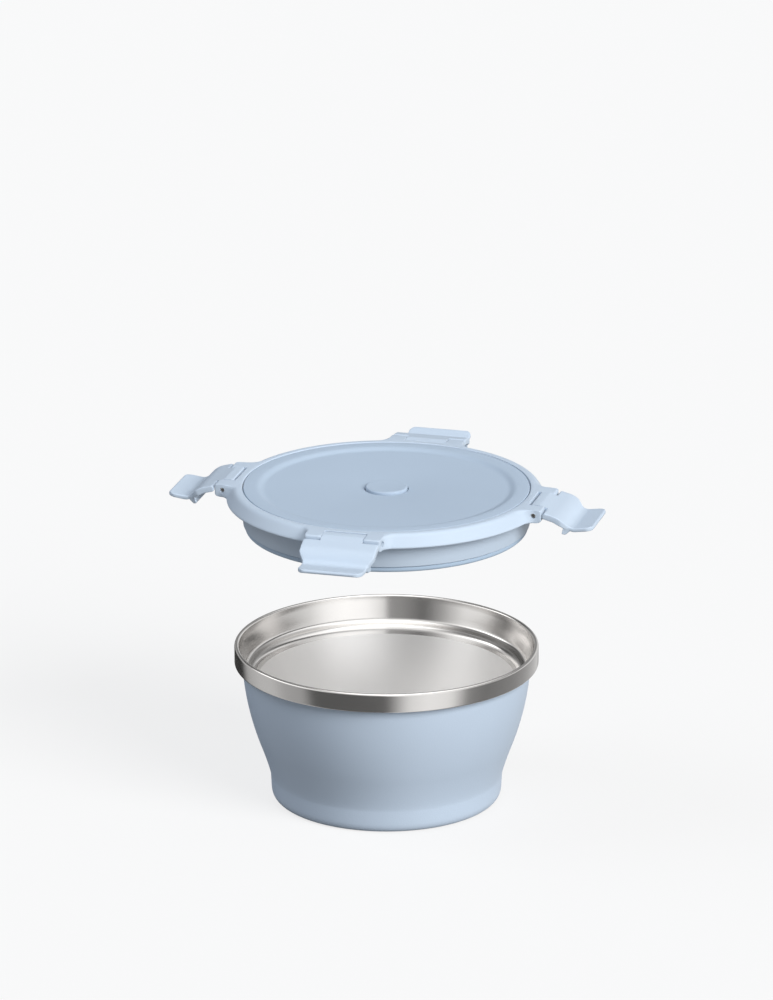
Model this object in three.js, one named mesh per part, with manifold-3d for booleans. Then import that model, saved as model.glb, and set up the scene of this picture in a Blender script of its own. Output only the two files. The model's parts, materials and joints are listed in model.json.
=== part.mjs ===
// Insulated lunch bowl with a latched lid. Millimetres, +Z up, the bowl stands on z = 0.
// The lid is lifted off straight above the bowl, with its four latches swung open.

import * as THREE from 'three';
import { mergeVertices } from 'three/addons/utils/BufferGeometryUtils.js';
import Module from 'manifold-3d';

const wasm = await Module();
wasm.setup();

// Gaps
const fixedGap = 0.3; // between pieces that are fixed to each other
const runningGap = 0.35; // between pieces that move past each other

// Steel bowl
const rimRadius = 80; // outside of the bare steel band
const bowlHeight = 84;
const bandHeight = 10.2;
const bandCorner = 1; // rounding at the band's lower edge
const lipThickness = 2.4; // across the folded rim
const mouthTaper = 0.258; // radius lost for each millimetre of depth
const steelSheet = 0.5;
const ledgeDepth = 13.9; // below the rim
const ledgeWidth = 3.6;
const ledgeCorner = 1; // hollow corner between mouth and ledge
const ledgeNose = 1.8; // rounded inner edge of the ledge
const shellTuck = 1.2; // how far the outer shell reaches up behind the band
const footRadius = 61.15;
const footCorner = 5;
const footHeight = 12;
const waistFlare = 4.75; // how much wider the waist is than the foot
const waistHeight = 28;
const footLean = 0.06; // outward lean of the foot, millimetre for millimetre
const bellyBulge = 3.3; // how far the belly's control point stands off the straight line
const vacuumSpace = 9.5; // between liner and shell at the waist
const floorSpace = 3.5; // between the liner's floor and the shell's bottom
const footRingWidth = 6;
const baseRecess = 3;
const baseCoverThickness = 0.9;
const sealPlugRadius = 6;
const sealPlugThickness = 1;
const evacuationRadius = 2;
const getterRadius = 9;
const getterThickness = 1.4;
const getterOffset = 30;

// Lid
const lidGap = 2.2; // from rim to ring when the lid is shut
const lidLift = 77.8; // how far the lid is lifted from shut
const ringOverhang = 3.5; // how far the ring stands out past the rim
const ringHeight = 7;
const ringRounding = 2;
const ringLean = 4; // how far the outer face of the ring leans in towards its top
const ringFoot = 0.8; // chamfer at the ring's lower edge
const lidWall = 1.8;
const ringLand = 8.2; // top of the ring, from its outside to the recess for the plate
const skirtFlare = 1.02; // how much wider the skirt is at its top
const sealHeight = 2.9;
const sealRounding = 1;
const sealLip = 2.1; // radial width of the seal's outer lip
const sealTongue = 1.6; // part of the seal that sits in the groove
const sealTongueHeight = 1.2;
const sealFlange = 0.8; // thickness of the floor edge that holds the tongue
const plateThickness = 2;
const plateBorder = 7.65; // flat border outside the plate's recess
const plateSlope = 3;
const plateRecess = 1.5;
const plateSet = 0.1; // how far the plate's border lies below the ring's top

// Vent in the middle of the lid
const buttonRadius = 11;
const buttonRise = 1.5; // above the recessed field of the plate
const buttonEdge = 0.6;
const buttonDish = 0.25;
const buttonFlange = 1.4; // how far the flange reaches out under the plate
const flangeThickness = 1.2;
const stemRadius = 3;
const stemSocket = 1.5;
const ventRecessRadius = 10;
const ventRecess = 2.7; // how far the floor is raised round the stem
const ventSealMargin = 1.4; // from the vent seal to the side of its recess
const ventSealThickness = 1.8;
const springClearance = 1.75; // from the stem to the spring
const springWire = 0.9;
const springTurns = 5;

// Latches
const pinHeight = 3.8; // hinge pin above the ring's underside
const pinRadius = 1.1;
const pinRecess = 1; // how far each pin end lies inside its ear
const earWidth = 8.5;
const earNose = 4.2; // how far the ears stand out from the pin
const earTop = 2.9; // above the pin
const knuckleWidth = 22;
const knuckleRadius = 3.6;
const knuckleHeel = 3.1; // how far the knuckle reaches in behind the pin
const wingGap = 0.6; // from the ears to the latch's wide part
const latchStand = 3.3; // outer face of a shut latch, out from the pin
const latchThickness = 2.3;
const latchElbow = 2.65; // height from the hook up to the elbow in the outer face
const hookReach = 1.9; // how far the hook reaches in under the band
const hookThickness = 2;
const creaseDrop = 3.35; // from the hook's top down to the crease
const tabLength = 12;
const tabTilt = 23; // degrees out from upright when shut
const tabThickness = 2;
const tabWidth = 34;
const tabCorner = 4.5;
const sideOpening = 75; // degrees from shut to the pose shown, left and right
const frontOpening = 71;
const backOpening = 83;

// Fineness of the round shapes
const roundSteps = 40;
const smallRoundSteps = 24;
const curveSteps = 4;
const wireSteps = 8; // per turn of the spring
const wireSides = 5;

// Materials
function finish(color, roughness, metalness) {
  return new THREE.MeshStandardMaterial({ color, roughness, metalness });
}
const brushedSteel = finish('#b9b6b3', 0.32, 1);
const powderCoat = finish('#a9bdd4', 0.6, 0);
const lidPlastic = finish('#afc4db', 0.5, 0);
const siliconeRubber = finish('#97abc1', 0.7, 0);
const springSteel = finish('#9a9a9a', 0.35, 1);
const getterAlloy = finish('#77777a', 0.6, 1);
const sealingGlass = finish('#5c6066', 0.3, 0);

// Shared helpers

// The direction to the left of travel from one point to another
function leftOf(from, to) {
  const along = to.clone().sub(from).normalize();
  return new THREE.Vector2(-along.y, along.x);
}

// Outline of a sheet of even thickness. Its seen face follows the points, and it lies to their left.
function sheetOutline(face, thickness) {
  const last = face.length - 1;
  const back = face.map((point, i) => {
    const before = leftOf(face[Math.max(i - 1, 0)], face[Math.max(i, 1)]);
    const after = leftOf(face[Math.min(i, last - 1)], face[Math.min(i + 1, last)]);
    const mitre = before.clone().add(after).multiplyScalar(thickness / (1 + before.dot(after)));
    return point.clone().add(mitre);
  });
  return [...face, ...back.reverse()];
}

// Outline from a list of [radius, height] pairs
function outline(pairs) {
  return pairs.map(([radius, height]) => new THREE.Vector2(radius, height));
}

// A closed outline turned about Z. The outline runs outwards along the bottom and back along the top.
function turned(points, steps = roundSteps) {
  const loop = [...points, points[0].clone()];
  const geometry = new THREE.LatheGeometry(loop, steps);
  geometry.rotateX(Math.PI / 2);
  return geometry;
}

// A shape of outward and upward lengths, made as wide as asked and centred across
function sideExtrusion(shape, width) {
  const geometry = new THREE.ExtrudeGeometry(shape, {
    depth: width,
    bevelEnabled: false,
    curveSegments: curveSteps,
  });
  geometry.translate(0, 0, -width / 2);
  geometry.rotateX(Math.PI / 2);
  return geometry;
}

// A shape of sideways and upward lengths, made as deep as asked and centred on the pin
function frontExtrusion(shape, depth) {
  const geometry = sideExtrusion(shape, depth);
  geometry.rotateZ(Math.PI / 2);
  return geometry;
}

// A round bar that lies across, through the origin
function crossBar(radius, length) {
  return new THREE.CylinderGeometry(radius, radius, length, smallRoundSteps / 2);
}

// A closed geometry as a solid that can be joined and cut
function solid(geometry) {
  const bare = geometry.clone();
  bare.deleteAttribute('normal');
  bare.deleteAttribute('uv');
  const merged = mergeVertices(bare);
  const corners = Array.from(merged.index.array);
  const triangles = [];
  for (let i = 0; i < corners.length; i += 3) {
    const [a, b, c] = corners.slice(i, i + 3);
    if (a !== b && b !== c && c !== a) {
      triangles.push(a, b, c);
    }
  }
  return new wasm.Manifold(new wasm.Mesh({
    numProp: 3,
    vertProperties: merged.getAttribute('position').array,
    triVerts: Uint32Array.from(triangles),
  }));
}

// A solid back as a geometry
function geometryOf(body) {
  const mesh = body.getMesh();
  const geometry = new THREE.BufferGeometry();
  geometry.setAttribute('position', new THREE.BufferAttribute(mesh.vertProperties, 3));
  geometry.setIndex(new THREE.BufferAttribute(mesh.triVerts, 1));
  geometry.computeVertexNormals();
  return geometry;
}

function piece(name, geometry, material) {
  const mesh = new THREE.Mesh(geometry, material);
  mesh.name = name;
  return mesh;
}

// Sizes that several pieces share
const bandBottom = bowlHeight - bandHeight;
const lipRadius = rimRadius - lipThickness;
const lipRounding = lipThickness / 2;
const ringRadius = rimRadius + ringOverhang;
const pinCircle = ringRadius;
const sealDepth = ledgeDepth + lidGap - fixedGap; // from the ring's underside to the bottom of the seal
const grooveDepth = sealDepth - sealHeight - fixedGap; // from the ring's underside to the seal groove
const floorHeight = baseRecess + floorSpace + 2 * steelSheet; // inside floor of the bowl

// Inside radius of the mouth at a depth below the rim
function mouthRadius(depth) {
  return lipRadius - mouthTaper * (depth - lipRounding);
}

// Outside radius of the outer shell where it runs beside the mouth, measured square to the leaning wall
function neckRadius(depth) {
  return mouthRadius(depth) + (2 * steelSheet + fixedGap) * Math.hypot(1, mouthTaper);
}

// Steel liner: the band, the folded rim, the mouth, the ledge for the lid's seal and the inside of the bowl
function innerLiner() {
  const ledgeHeight = bowlHeight - ledgeDepth;
  const ledgeStart = mouthRadius(ledgeDepth) - ledgeCorner;
  const noseStart = mouthRadius(ledgeDepth) - ledgeWidth;
  const wallRadius = noseStart - ledgeNose;
  const waistRadius = footRadius + waistFlare - vacuumSpace - 2 * steelSheet;
  const wallLean = (wallRadius - waistRadius) / (ledgeHeight - waistHeight);
  const floorCorner = waistRadius - wallLean * (waistHeight - floorHeight);
  const face = new THREE.Path();
  face.moveTo(neckRadius(bandHeight - steelSheet) + fixedGap, bandBottom);
  face.lineTo(rimRadius - bandCorner, bandBottom);
  face.quadraticCurveTo(rimRadius, bandBottom, rimRadius, bandBottom + bandCorner);
  face.lineTo(rimRadius, bowlHeight - lipRounding);
  face.absarc(rimRadius - lipRounding, bowlHeight - lipRounding, lipRounding, 0, Math.PI, false);
  face.lineTo(mouthRadius(ledgeDepth - ledgeCorner), ledgeHeight + ledgeCorner);
  face.quadraticCurveTo(mouthRadius(ledgeDepth), ledgeHeight, ledgeStart, ledgeHeight);
  face.lineTo(noseStart, ledgeHeight);
  face.quadraticCurveTo(wallRadius, ledgeHeight, wallRadius - wallLean * ledgeNose, ledgeHeight - ledgeNose);
  face.lineTo(waistRadius, waistHeight);
  face.quadraticCurveTo(floorCorner, floorHeight, waistRadius / 2, floorHeight);
  face.lineTo(0, floorHeight);
  return piece('inner_liner', turned(sheetOutline(face.getPoints(curveSteps), steelSheet)), brushedSteel);
}

// Coated outer shell: recessed bottom, foot, waist and belly, tucked up behind the band
function outerShell() {
  const waistRadius = footRadius + waistFlare;
  const neckHeight = bowlHeight - ledgeDepth;
  const neck = neckRadius(ledgeDepth);
  const ringInside = footRadius - footCorner - footRingWidth;
  const face = new THREE.Path();
  face.moveTo(evacuationRadius, baseRecess);
  face.lineTo(ringInside, baseRecess);
  face.lineTo(ringInside, 0);
  face.lineTo(footRadius - footCorner, 0);
  face.quadraticCurveTo(footRadius - footLean * footHeight, 0, footRadius - footLean * footHeight / 2, footCorner);
  face.lineTo(footRadius, footHeight);
  const flareRise = (waistHeight - footHeight) / waistFlare;
  face.quadraticCurveTo(footRadius + footLean * flareRise, footHeight + flareRise, waistRadius, waistHeight);
  const bellyMiddle = (waistHeight + neckHeight) / 2;
  face.quadraticCurveTo((waistRadius + neck) / 2 + bellyBulge, bellyMiddle, neck, neckHeight);
  face.lineTo(neckRadius(bandHeight - shellTuck), bandBottom + shellTuck);
  return piece('outer_shell', turned(sheetOutline(face.getPoints(curveSteps), steelSheet)), powderCoat);
}

// Disc that hides the evacuation hole, set inside the foot ring
function baseCover() {
  const radius = footRadius - footCorner - footRingWidth - fixedGap;
  const top = baseRecess - 2 * fixedGap - sealPlugThickness;
  const points = outline([
    [0, top - baseCoverThickness],
    [radius, top - baseCoverThickness],
    [radius, top],
    [0, top],
  ]);
  return piece('base_cover', turned(points), powderCoat);
}

// Bead that seals the evacuation hole
function vacuumSealPlug() {
  const top = baseRecess - fixedGap;
  const points = outline([
    [0, top - sealPlugThickness],
    [sealPlugRadius, top - sealPlugThickness],
    [sealPlugRadius, top],
    [0, top],
  ]);
  return piece('vacuum_seal_plug', turned(points, smallRoundSteps), sealingGlass);
}

// Puck inside the vacuum space that soaks up stray gas
function getterDisc() {
  const bottom = baseRecess + steelSheet + fixedGap;
  const points = outline([
    [0, bottom],
    [getterRadius, bottom],
    [getterRadius, bottom + getterThickness],
    [0, bottom + getterThickness],
  ]);
  const mesh = piece('getter_disc', turned(points, smallRoundSteps), getterAlloy);
  mesh.position.x = getterOffset;
  return mesh;
}

// Lid heights, measured up from the ring's underside
const plateTop = ringHeight - plateSet;
const plateShelf = plateTop - plateThickness - fixedGap;
const fieldTop = plateTop - plateRecess;
const fieldUnderside = fieldTop - plateThickness;
const floorUnderside = sealFlange - sealDepth;
const floorTop = floorUnderside + lidWall;
const ventFloorUnderside = floorUnderside + ventRecess;
const ventFloorTop = floorTop + ventRecess;
const stemBore = stemRadius + runningGap;
const grooveTop = -grooveDepth;
const sealTop = grooveTop - fixedGap;
const sealOuter = mouthRadius(sealDepth - lidGap - sealRounding) - 2 * runningGap;
const sealInner = sealOuter - sealLip;
const tongueInner = sealInner - sealTongue;
const grooveWall = tongueInner - fixedGap;
const grooveShelf = sealTop - sealTongueHeight - fixedGap;
const skirtRadius = mouthRadius(grooveDepth - lidGap) - runningGap;
const skirtTopRadius = skirtRadius + skirtFlare;
const recessRadius = ringRadius - ringLand;
const plateRadius = recessRadius - fixedGap;
const ventSealRadius = ventRecessRadius - ventSealMargin;
const springRadius = stemRadius + springClearance + springWire / 2;

// Latch lengths, measured out and up from the hinge pin of a shut latch
const bandFace = rimRadius - pinCircle;
const hookTop = -(pinHeight + lidGap + bandHeight) - runningGap;
const pinBore = pinRadius + fixedGap;
const heelReach = Math.hypot(knuckleHeel, earTop);
const notchDepth = heelReach + runningGap;
const notchWidth = knuckleWidth + 2 * runningGap;
const latchWidth = notchWidth + 2 * earWidth;

// Lid body: ring, skirt, seal groove and floor, with an eared notch for each latch
function lidBody() {
  const shelfInner = skirtRadius - lidWall;
  const wellRadius = grooveWall - lidWall;
  const webTop = grooveTop + lidWall;
  const face = new THREE.Path();
  face.moveTo(stemBore, ventFloorUnderside);
  face.lineTo(ventRecessRadius, ventFloorUnderside);
  face.lineTo(ventRecessRadius, floorUnderside);
  face.lineTo(sealInner - fixedGap, floorUnderside);
  face.lineTo(sealInner - fixedGap, grooveShelf);
  face.lineTo(grooveWall, grooveShelf);
  face.lineTo(grooveWall, grooveTop);
  face.lineTo(skirtRadius, grooveTop);
  face.lineTo(skirtTopRadius, 0);
  face.lineTo(ringRadius - ringFoot, 0);
  face.lineTo(ringRadius, ringFoot);
  const roundedShare = ringRounding / Math.hypot(ringLean, ringHeight - ringFoot);
  const topEdge = ringRadius - ringLean;
  face.lineTo(topEdge + ringLean * roundedShare, ringHeight - (ringHeight - ringFoot) * roundedShare);
  face.quadraticCurveTo(topEdge, ringHeight, topEdge - ringRounding, ringHeight);
  face.lineTo(recessRadius, ringHeight);
  face.lineTo(recessRadius, plateShelf);
  face.lineTo(shelfInner, plateShelf);
  face.lineTo(shelfInner, webTop);
  face.lineTo(wellRadius, webTop);
  face.lineTo(wellRadius, floorTop);
  face.lineTo(ventRecessRadius + lidWall, floorTop);
  face.lineTo(ventRecessRadius + lidWall, ventFloorTop);
  face.lineTo(stemBore, ventFloorTop);
  let body = solid(turned(face.getPoints(curveSteps)));

  const ear = new THREE.Shape();
  ear.moveTo(-notchDepth - fixedGap, -pinHeight);
  ear.lineTo(0, -pinHeight);
  ear.quadraticCurveTo(earNose, -pinHeight, earNose, 0);
  ear.quadraticCurveTo(earNose, earTop, 0, earTop);
  ear.lineTo(-notchDepth - fixedGap, earTop);
  const notch = new THREE.BoxGeometry(notchDepth + 2 * earNose, notchWidth, 4 * ringHeight);
  notch.translate(earNose - notchDepth / 2, 0, 0);
  const ears = solid(sideExtrusion(ear, latchWidth));
  const cut = solid(notch).add(solid(crossBar(pinBore, 2 * latchWidth)));
  for (const turn of latchTurns) {
    body = body.add(atPin(ears, turn));
    body = body.subtract(atPin(cut, turn));
  }
  return piece('lid_body', geometryOf(body), lidPlastic);
}

// A solid made at a hinge pin, moved out to the pin circle and turned about the lid's axis
function atPin(body, degrees) {
  return body.translate([pinCircle, 0, pinHeight]).rotate([0, 0, degrees]);
}

// Disc that closes the lid from above, with a recessed field
function topPlate() {
  const hole = buttonRadius + runningGap;
  const borderInner = plateRadius - plateBorder;
  const fieldRadius = borderInner - plateSlope;
  const points = outline([
    [hole, fieldUnderside],
    [fieldRadius, fieldUnderside],
    [borderInner, fieldUnderside + plateRecess],
    [plateRadius, fieldUnderside + plateRecess],
    [plateRadius, plateTop - fixedGap],
    [plateRadius - fixedGap, plateTop],
    [borderInner, plateTop],
    [fieldRadius, fieldTop],
    [hole, fieldTop],
  ]);
  return piece('top_plate', turned(points), lidPlastic);
}

// Soft ring round the lower edge of the skirt, held by its tongue
function lidSeal() {
  const face = new THREE.Path();
  face.moveTo(sealInner, -sealDepth);
  face.lineTo(sealOuter - sealRounding, -sealDepth);
  face.quadraticCurveTo(sealOuter, -sealDepth, sealOuter, sealRounding - sealDepth);
  face.lineTo(sealOuter, sealTop);
  face.lineTo(tongueInner, sealTop);
  face.lineTo(tongueInner, sealTop - sealTongueHeight);
  face.lineTo(sealInner, sealTop - sealTongueHeight);
  return piece('lid_seal', turned(face.getPoints(curveSteps)), siliconeRubber);
}

// Push button that lets air in past the vent seal
const flangeTop = fieldUnderside - fixedGap;
const flangeUnderside = flangeTop - flangeThickness;
function ventButton() {
  const top = fieldTop + buttonRise;
  const points = outline([
    [0, flangeUnderside + stemSocket],
    [stemRadius + fixedGap, flangeUnderside + stemSocket],
    [stemRadius + fixedGap, flangeUnderside],
    [buttonRadius + buttonFlange, flangeUnderside],
    [buttonRadius + buttonFlange, flangeTop],
    [buttonRadius, flangeTop],
    [buttonRadius, top - buttonEdge],
    [buttonRadius - buttonEdge, top],
    [0, top - buttonDish],
  ]);
  return piece('vent_button', turned(points, smallRoundSteps), lidPlastic);
}

// Stem from the button down through the lid's floor to the vent seal
const ventSealTop = ventFloorUnderside - fixedGap;
const ventSealSocket = ventSealTop - ventSealThickness / 2;
function ventStem() {
  const points = outline([
    [0, ventSealSocket + fixedGap],
    [stemRadius, ventSealSocket + fixedGap],
    [stemRadius, flangeUnderside + stemSocket - fixedGap],
    [0, flangeUnderside + stemSocket - fixedGap],
  ]);
  return piece('vent_stem', turned(points, smallRoundSteps), lidPlastic);
}

// Soft disc that closes the stem's bore from below
function ventSeal() {
  const points = outline([
    [0, ventSealTop - ventSealThickness],
    [ventSealRadius - ventSealThickness / 2, ventSealTop - ventSealThickness],
    [ventSealRadius, ventSealTop],
    [stemRadius + fixedGap, ventSealTop],
    [stemRadius + fixedGap, ventSealSocket],
    [0, ventSealSocket],
  ]);
  return piece('vent_seal', turned(points, smallRoundSteps), siliconeRubber);
}

// Coil spring round the stem, between the lid's floor and the button
class Coil extends THREE.Curve {
  constructor(bottom, top) {
    super();
    this.bottom = bottom;
    this.top = top;
  }

  getPoint(share, target = new THREE.Vector3()) {
    const angle = share * springTurns * 2 * Math.PI;
    const height = this.bottom + (this.top - this.bottom) * share;
    return target.set(springRadius * Math.cos(angle), springRadius * Math.sin(angle), height);
  }
}

function ventSpring() {
  const wire = new THREE.Shape();
  for (let side = 0; side < wireSides; side += 1) {
    const angle = (side / wireSides) * 2 * Math.PI;
    const x = (springWire / 2) * Math.cos(angle);
    const y = (springWire / 2) * Math.sin(angle);
    if (side === 0) {
      wire.moveTo(x, y);
    } else {
      wire.lineTo(x, y);
    }
  }
  const endRoom = fixedGap + springWire / 2;
  const geometry = new THREE.ExtrudeGeometry(wire, {
    steps: springTurns * wireSteps,
    extrudePath: new Coil(ventFloorTop + endRoom, flangeUnderside - endRoom),
    bevelEnabled: false,
  });
  return piece('vent_spring', geometry, springSteel);
}

// A point given in the open pose of the side latches, as it lies on a shut latch
function whenShut(x, y) {
  return new THREE.Vector2(x, y).rotateAround(new THREE.Vector2(), -THREE.MathUtils.degToRad(sideOpening));
}

// One latch, made shut: knuckle on the pin, plate down past the band, hook under it and a finger tab
function latchGeometry() {
  const tilt = THREE.MathUtils.degToRad(tabTilt);
  const wingTop = -earNose - wingGap;
  const plateInner = latchStand - latchThickness;
  const creaseX = bandFace + latchThickness;
  const creaseY = hookTop - creaseDrop;
  const tabEnd = new THREE.Vector2(creaseX + tabLength * Math.sin(tilt), creaseY - tabLength * Math.cos(tilt));
  const tabInward = new THREE.Vector2(-Math.cos(tilt), -Math.sin(tilt)).multiplyScalar(tabThickness);
  const side = new THREE.Shape();
  side.moveTo(latchStand, wingTop);
  side.lineTo(plateInner, wingTop);
  side.lineTo(plateInner, hookTop + latchElbow + latchThickness / 2);
  side.lineTo(bandFace + latchThickness, hookTop);
  side.lineTo(bandFace - hookReach, hookTop);
  side.lineTo(bandFace - hookReach, hookTop - hookThickness);
  side.lineTo(creaseX + tabInward.x, creaseY + tabInward.y);
  side.lineTo(tabEnd.x + tabInward.x, tabEnd.y + tabInward.y);
  side.lineTo(tabEnd.x, tabEnd.y);
  side.lineTo(creaseX, creaseY);
  side.lineTo(latchStand, hookTop + latchElbow);

  const half = latchWidth / 2;
  const tabHalf = tabWidth / 2;
  const low = tabEnd.y + tabInward.y;
  const front = new THREE.Shape();
  front.moveTo(-half, wingTop + fixedGap);
  front.lineTo(-half, hookTop + latchElbow);
  front.bezierCurveTo(-half, hookTop, -tabHalf, hookTop, -tabHalf, creaseY);
  front.lineTo(-tabHalf, low + tabCorner);
  front.quadraticCurveTo(-tabHalf, low, tabCorner - tabHalf, low);
  front.lineTo(tabHalf - tabCorner, low);
  front.quadraticCurveTo(tabHalf, low, tabHalf, low + tabCorner);
  front.lineTo(tabHalf, creaseY);
  front.bezierCurveTo(tabHalf, hookTop, half, hookTop, half, hookTop + latchElbow);
  front.lineTo(half, wingTop + fixedGap);
  const depth = 4 * (latchStand + ringOverhang + hookReach);
  const plate = solid(sideExtrusion(side, 2 * latchWidth)).intersect(solid(frontExtrusion(front, depth)));

  const web = new THREE.Shape();
  web.moveTo(plateInner, 0);
  web.lineTo(plateInner, wingTop - latchThickness / 2);
  web.lineTo(latchStand - fixedGap / 2, wingTop - latchThickness / 2);
  web.lineTo(latchStand, wingTop);
  web.lineTo(latchStand, 0);
  const heel = new THREE.Shape([
    whenShut(-knuckleHeel, 0),
    whenShut(knuckleRadius, 0),
    whenShut(earNose + wingGap, earTop / 2),
    whenShut(pinBore, earTop),
    whenShut(-knuckleHeel, earTop),
  ]);
  const knuckle = solid(crossBar(knuckleRadius, knuckleWidth))
    .add(solid(sideExtrusion(web, knuckleWidth)))
    .add(solid(sideExtrusion(heel, knuckleWidth)));
  const bore = solid(crossBar(pinBore, 2 * latchWidth));
  return geometryOf(plate.add(knuckle).subtract(bore));
}

// Four sides of the lid, as turns about its axis, and how far each latch is open
const latchSides = [
  { side: 'right', degrees: 0, opening: sideOpening },
  { side: 'back', degrees: 90, opening: backOpening },
  { side: 'left', degrees: 180, opening: sideOpening },
  { side: 'front', degrees: 270, opening: frontOpening },
];
const latchTurns = latchSides.map(({ degrees }) => degrees);

// Hinge pin and open latch on one side of the lid
function latchStation({ side, degrees, opening }) {
  const station = new THREE.Group();
  station.rotation.z = THREE.MathUtils.degToRad(degrees);
  const pin = piece(`hinge_pin_${side}`, crossBar(pinRadius, latchWidth - 2 * pinRecess), springSteel);
  const latch = piece(`latch_${side}`, latchGeometry(), lidPlastic);
  latch.rotation.y = -THREE.MathUtils.degToRad(opening);
  for (const part of [pin, latch]) {
    part.position.set(pinCircle, 0, pinHeight);
    station.add(part);
  }
  return station;
}

const bowl = new THREE.Group();
bowl.add(innerLiner(), outerShell(), baseCover(), vacuumSealPlug(), getterDisc());

const lid = new THREE.Group();
lid.position.z = bowlHeight + lidGap + lidLift;
lid.add(lidBody(), topPlate(), lidSeal(), ventButton(), ventStem(), ventSeal(), ventSpring());
lid.add(...latchSides.map(latchStation));

const lunchBowl = new THREE.Group();
lunchBowl.name = 'lunch_bowl';
lunchBowl.add(bowl, lid);

export default lunchBowl;
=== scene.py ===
"""Finished surfaces of an insulated lunch bowl with a latched lid, built around its fixed frame.

All lengths are metres. The bowl stands on z = 0 and the lid hangs above it with its latches open.
"""

import json
import math

import bmesh
import bpy
from bpy.props import FloatProperty, FloatVectorProperty, IntProperty, PointerProperty
from mathutils import Matrix, Vector


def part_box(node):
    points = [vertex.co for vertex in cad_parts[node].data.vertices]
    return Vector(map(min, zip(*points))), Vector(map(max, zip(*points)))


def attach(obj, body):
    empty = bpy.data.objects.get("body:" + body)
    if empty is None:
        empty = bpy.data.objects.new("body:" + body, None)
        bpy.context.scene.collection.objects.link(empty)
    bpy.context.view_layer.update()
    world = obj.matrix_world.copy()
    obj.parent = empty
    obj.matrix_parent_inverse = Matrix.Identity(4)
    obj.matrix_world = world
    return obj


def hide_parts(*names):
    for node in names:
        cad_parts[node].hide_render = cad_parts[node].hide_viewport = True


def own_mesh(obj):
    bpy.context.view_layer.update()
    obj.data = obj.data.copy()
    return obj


bl_info = {
    "name": "Lunch Bowl",
    "version": (1, 0, 0),
    "blender": (4, 5, 0),
    "location": "View3D > Sidebar > Lunch Bowl",
    "description": "Builds the finished surfaces of an insulated lunch bowl around its fixed frame",
    "category": "Object",
}

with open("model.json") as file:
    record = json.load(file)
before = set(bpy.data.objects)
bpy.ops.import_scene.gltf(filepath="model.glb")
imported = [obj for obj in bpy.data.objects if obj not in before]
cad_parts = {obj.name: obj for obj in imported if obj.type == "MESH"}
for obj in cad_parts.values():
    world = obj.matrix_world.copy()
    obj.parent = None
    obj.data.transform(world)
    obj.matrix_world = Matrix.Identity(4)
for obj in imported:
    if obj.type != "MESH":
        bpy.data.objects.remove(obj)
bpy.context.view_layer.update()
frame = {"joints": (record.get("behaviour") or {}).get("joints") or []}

MM = 0.001

# Sides of the lid that have a latch, with their turn in degrees
SIDES = {"right": 0, "back": 90, "left": 180, "front": 270}

# Edges that bend by more than this stay sharp, and points closer than this are joined
SHARP_EDGE = math.radians(38)
WELD = 1e-6

# Lays an upright bar across the right side of the lid
CROSSWISE = Matrix.Rotation(math.pi / 2, 4, "X")


def joint(name):
    """One of the frame's joints."""
    return next(item for item in frame["joints"] if item["name"] == name)


# Places that come from the frame
LINER_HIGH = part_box("inner_liner")[1]
PLATE_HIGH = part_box("top_plate")[1]
PIN = Vector(joint("right_latch_hinge")["pos_m"])


def length(name, description, metres):
    """A property that holds a length."""
    return FloatProperty(name=name, description=description, default=metres, precision=5, unit="LENGTH")


def ratio(name, description, value):
    """A property that holds a plain number."""
    return FloatProperty(name=name, description=description, default=value, precision=4)


def angle(name, description, degrees):
    """A property that holds an angle."""
    turn = math.radians(degrees)
    return FloatProperty(name=name, description=description, default=turn, subtype="ANGLE")


def count(name, description, value):
    """A property that holds a whole number of steps."""
    return IntProperty(name=name, description=description, default=value, min=3)


def linear(value):
    """A display value from 0 to 255 as linear light."""
    share = value / 255
    if share <= 0.04045:
        return share / 12.92
    return ((share + 0.055) / 1.055) ** 2.4


def colour(name, description, red, green, blue):
    """A property that holds a colour, given by its display values."""
    return FloatVectorProperty(
        name=name,
        description=description,
        default=(linear(red), linear(green), linear(blue)),
        subtype="COLOR",
        min=0.0,
        max=1.0,
    )


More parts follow.
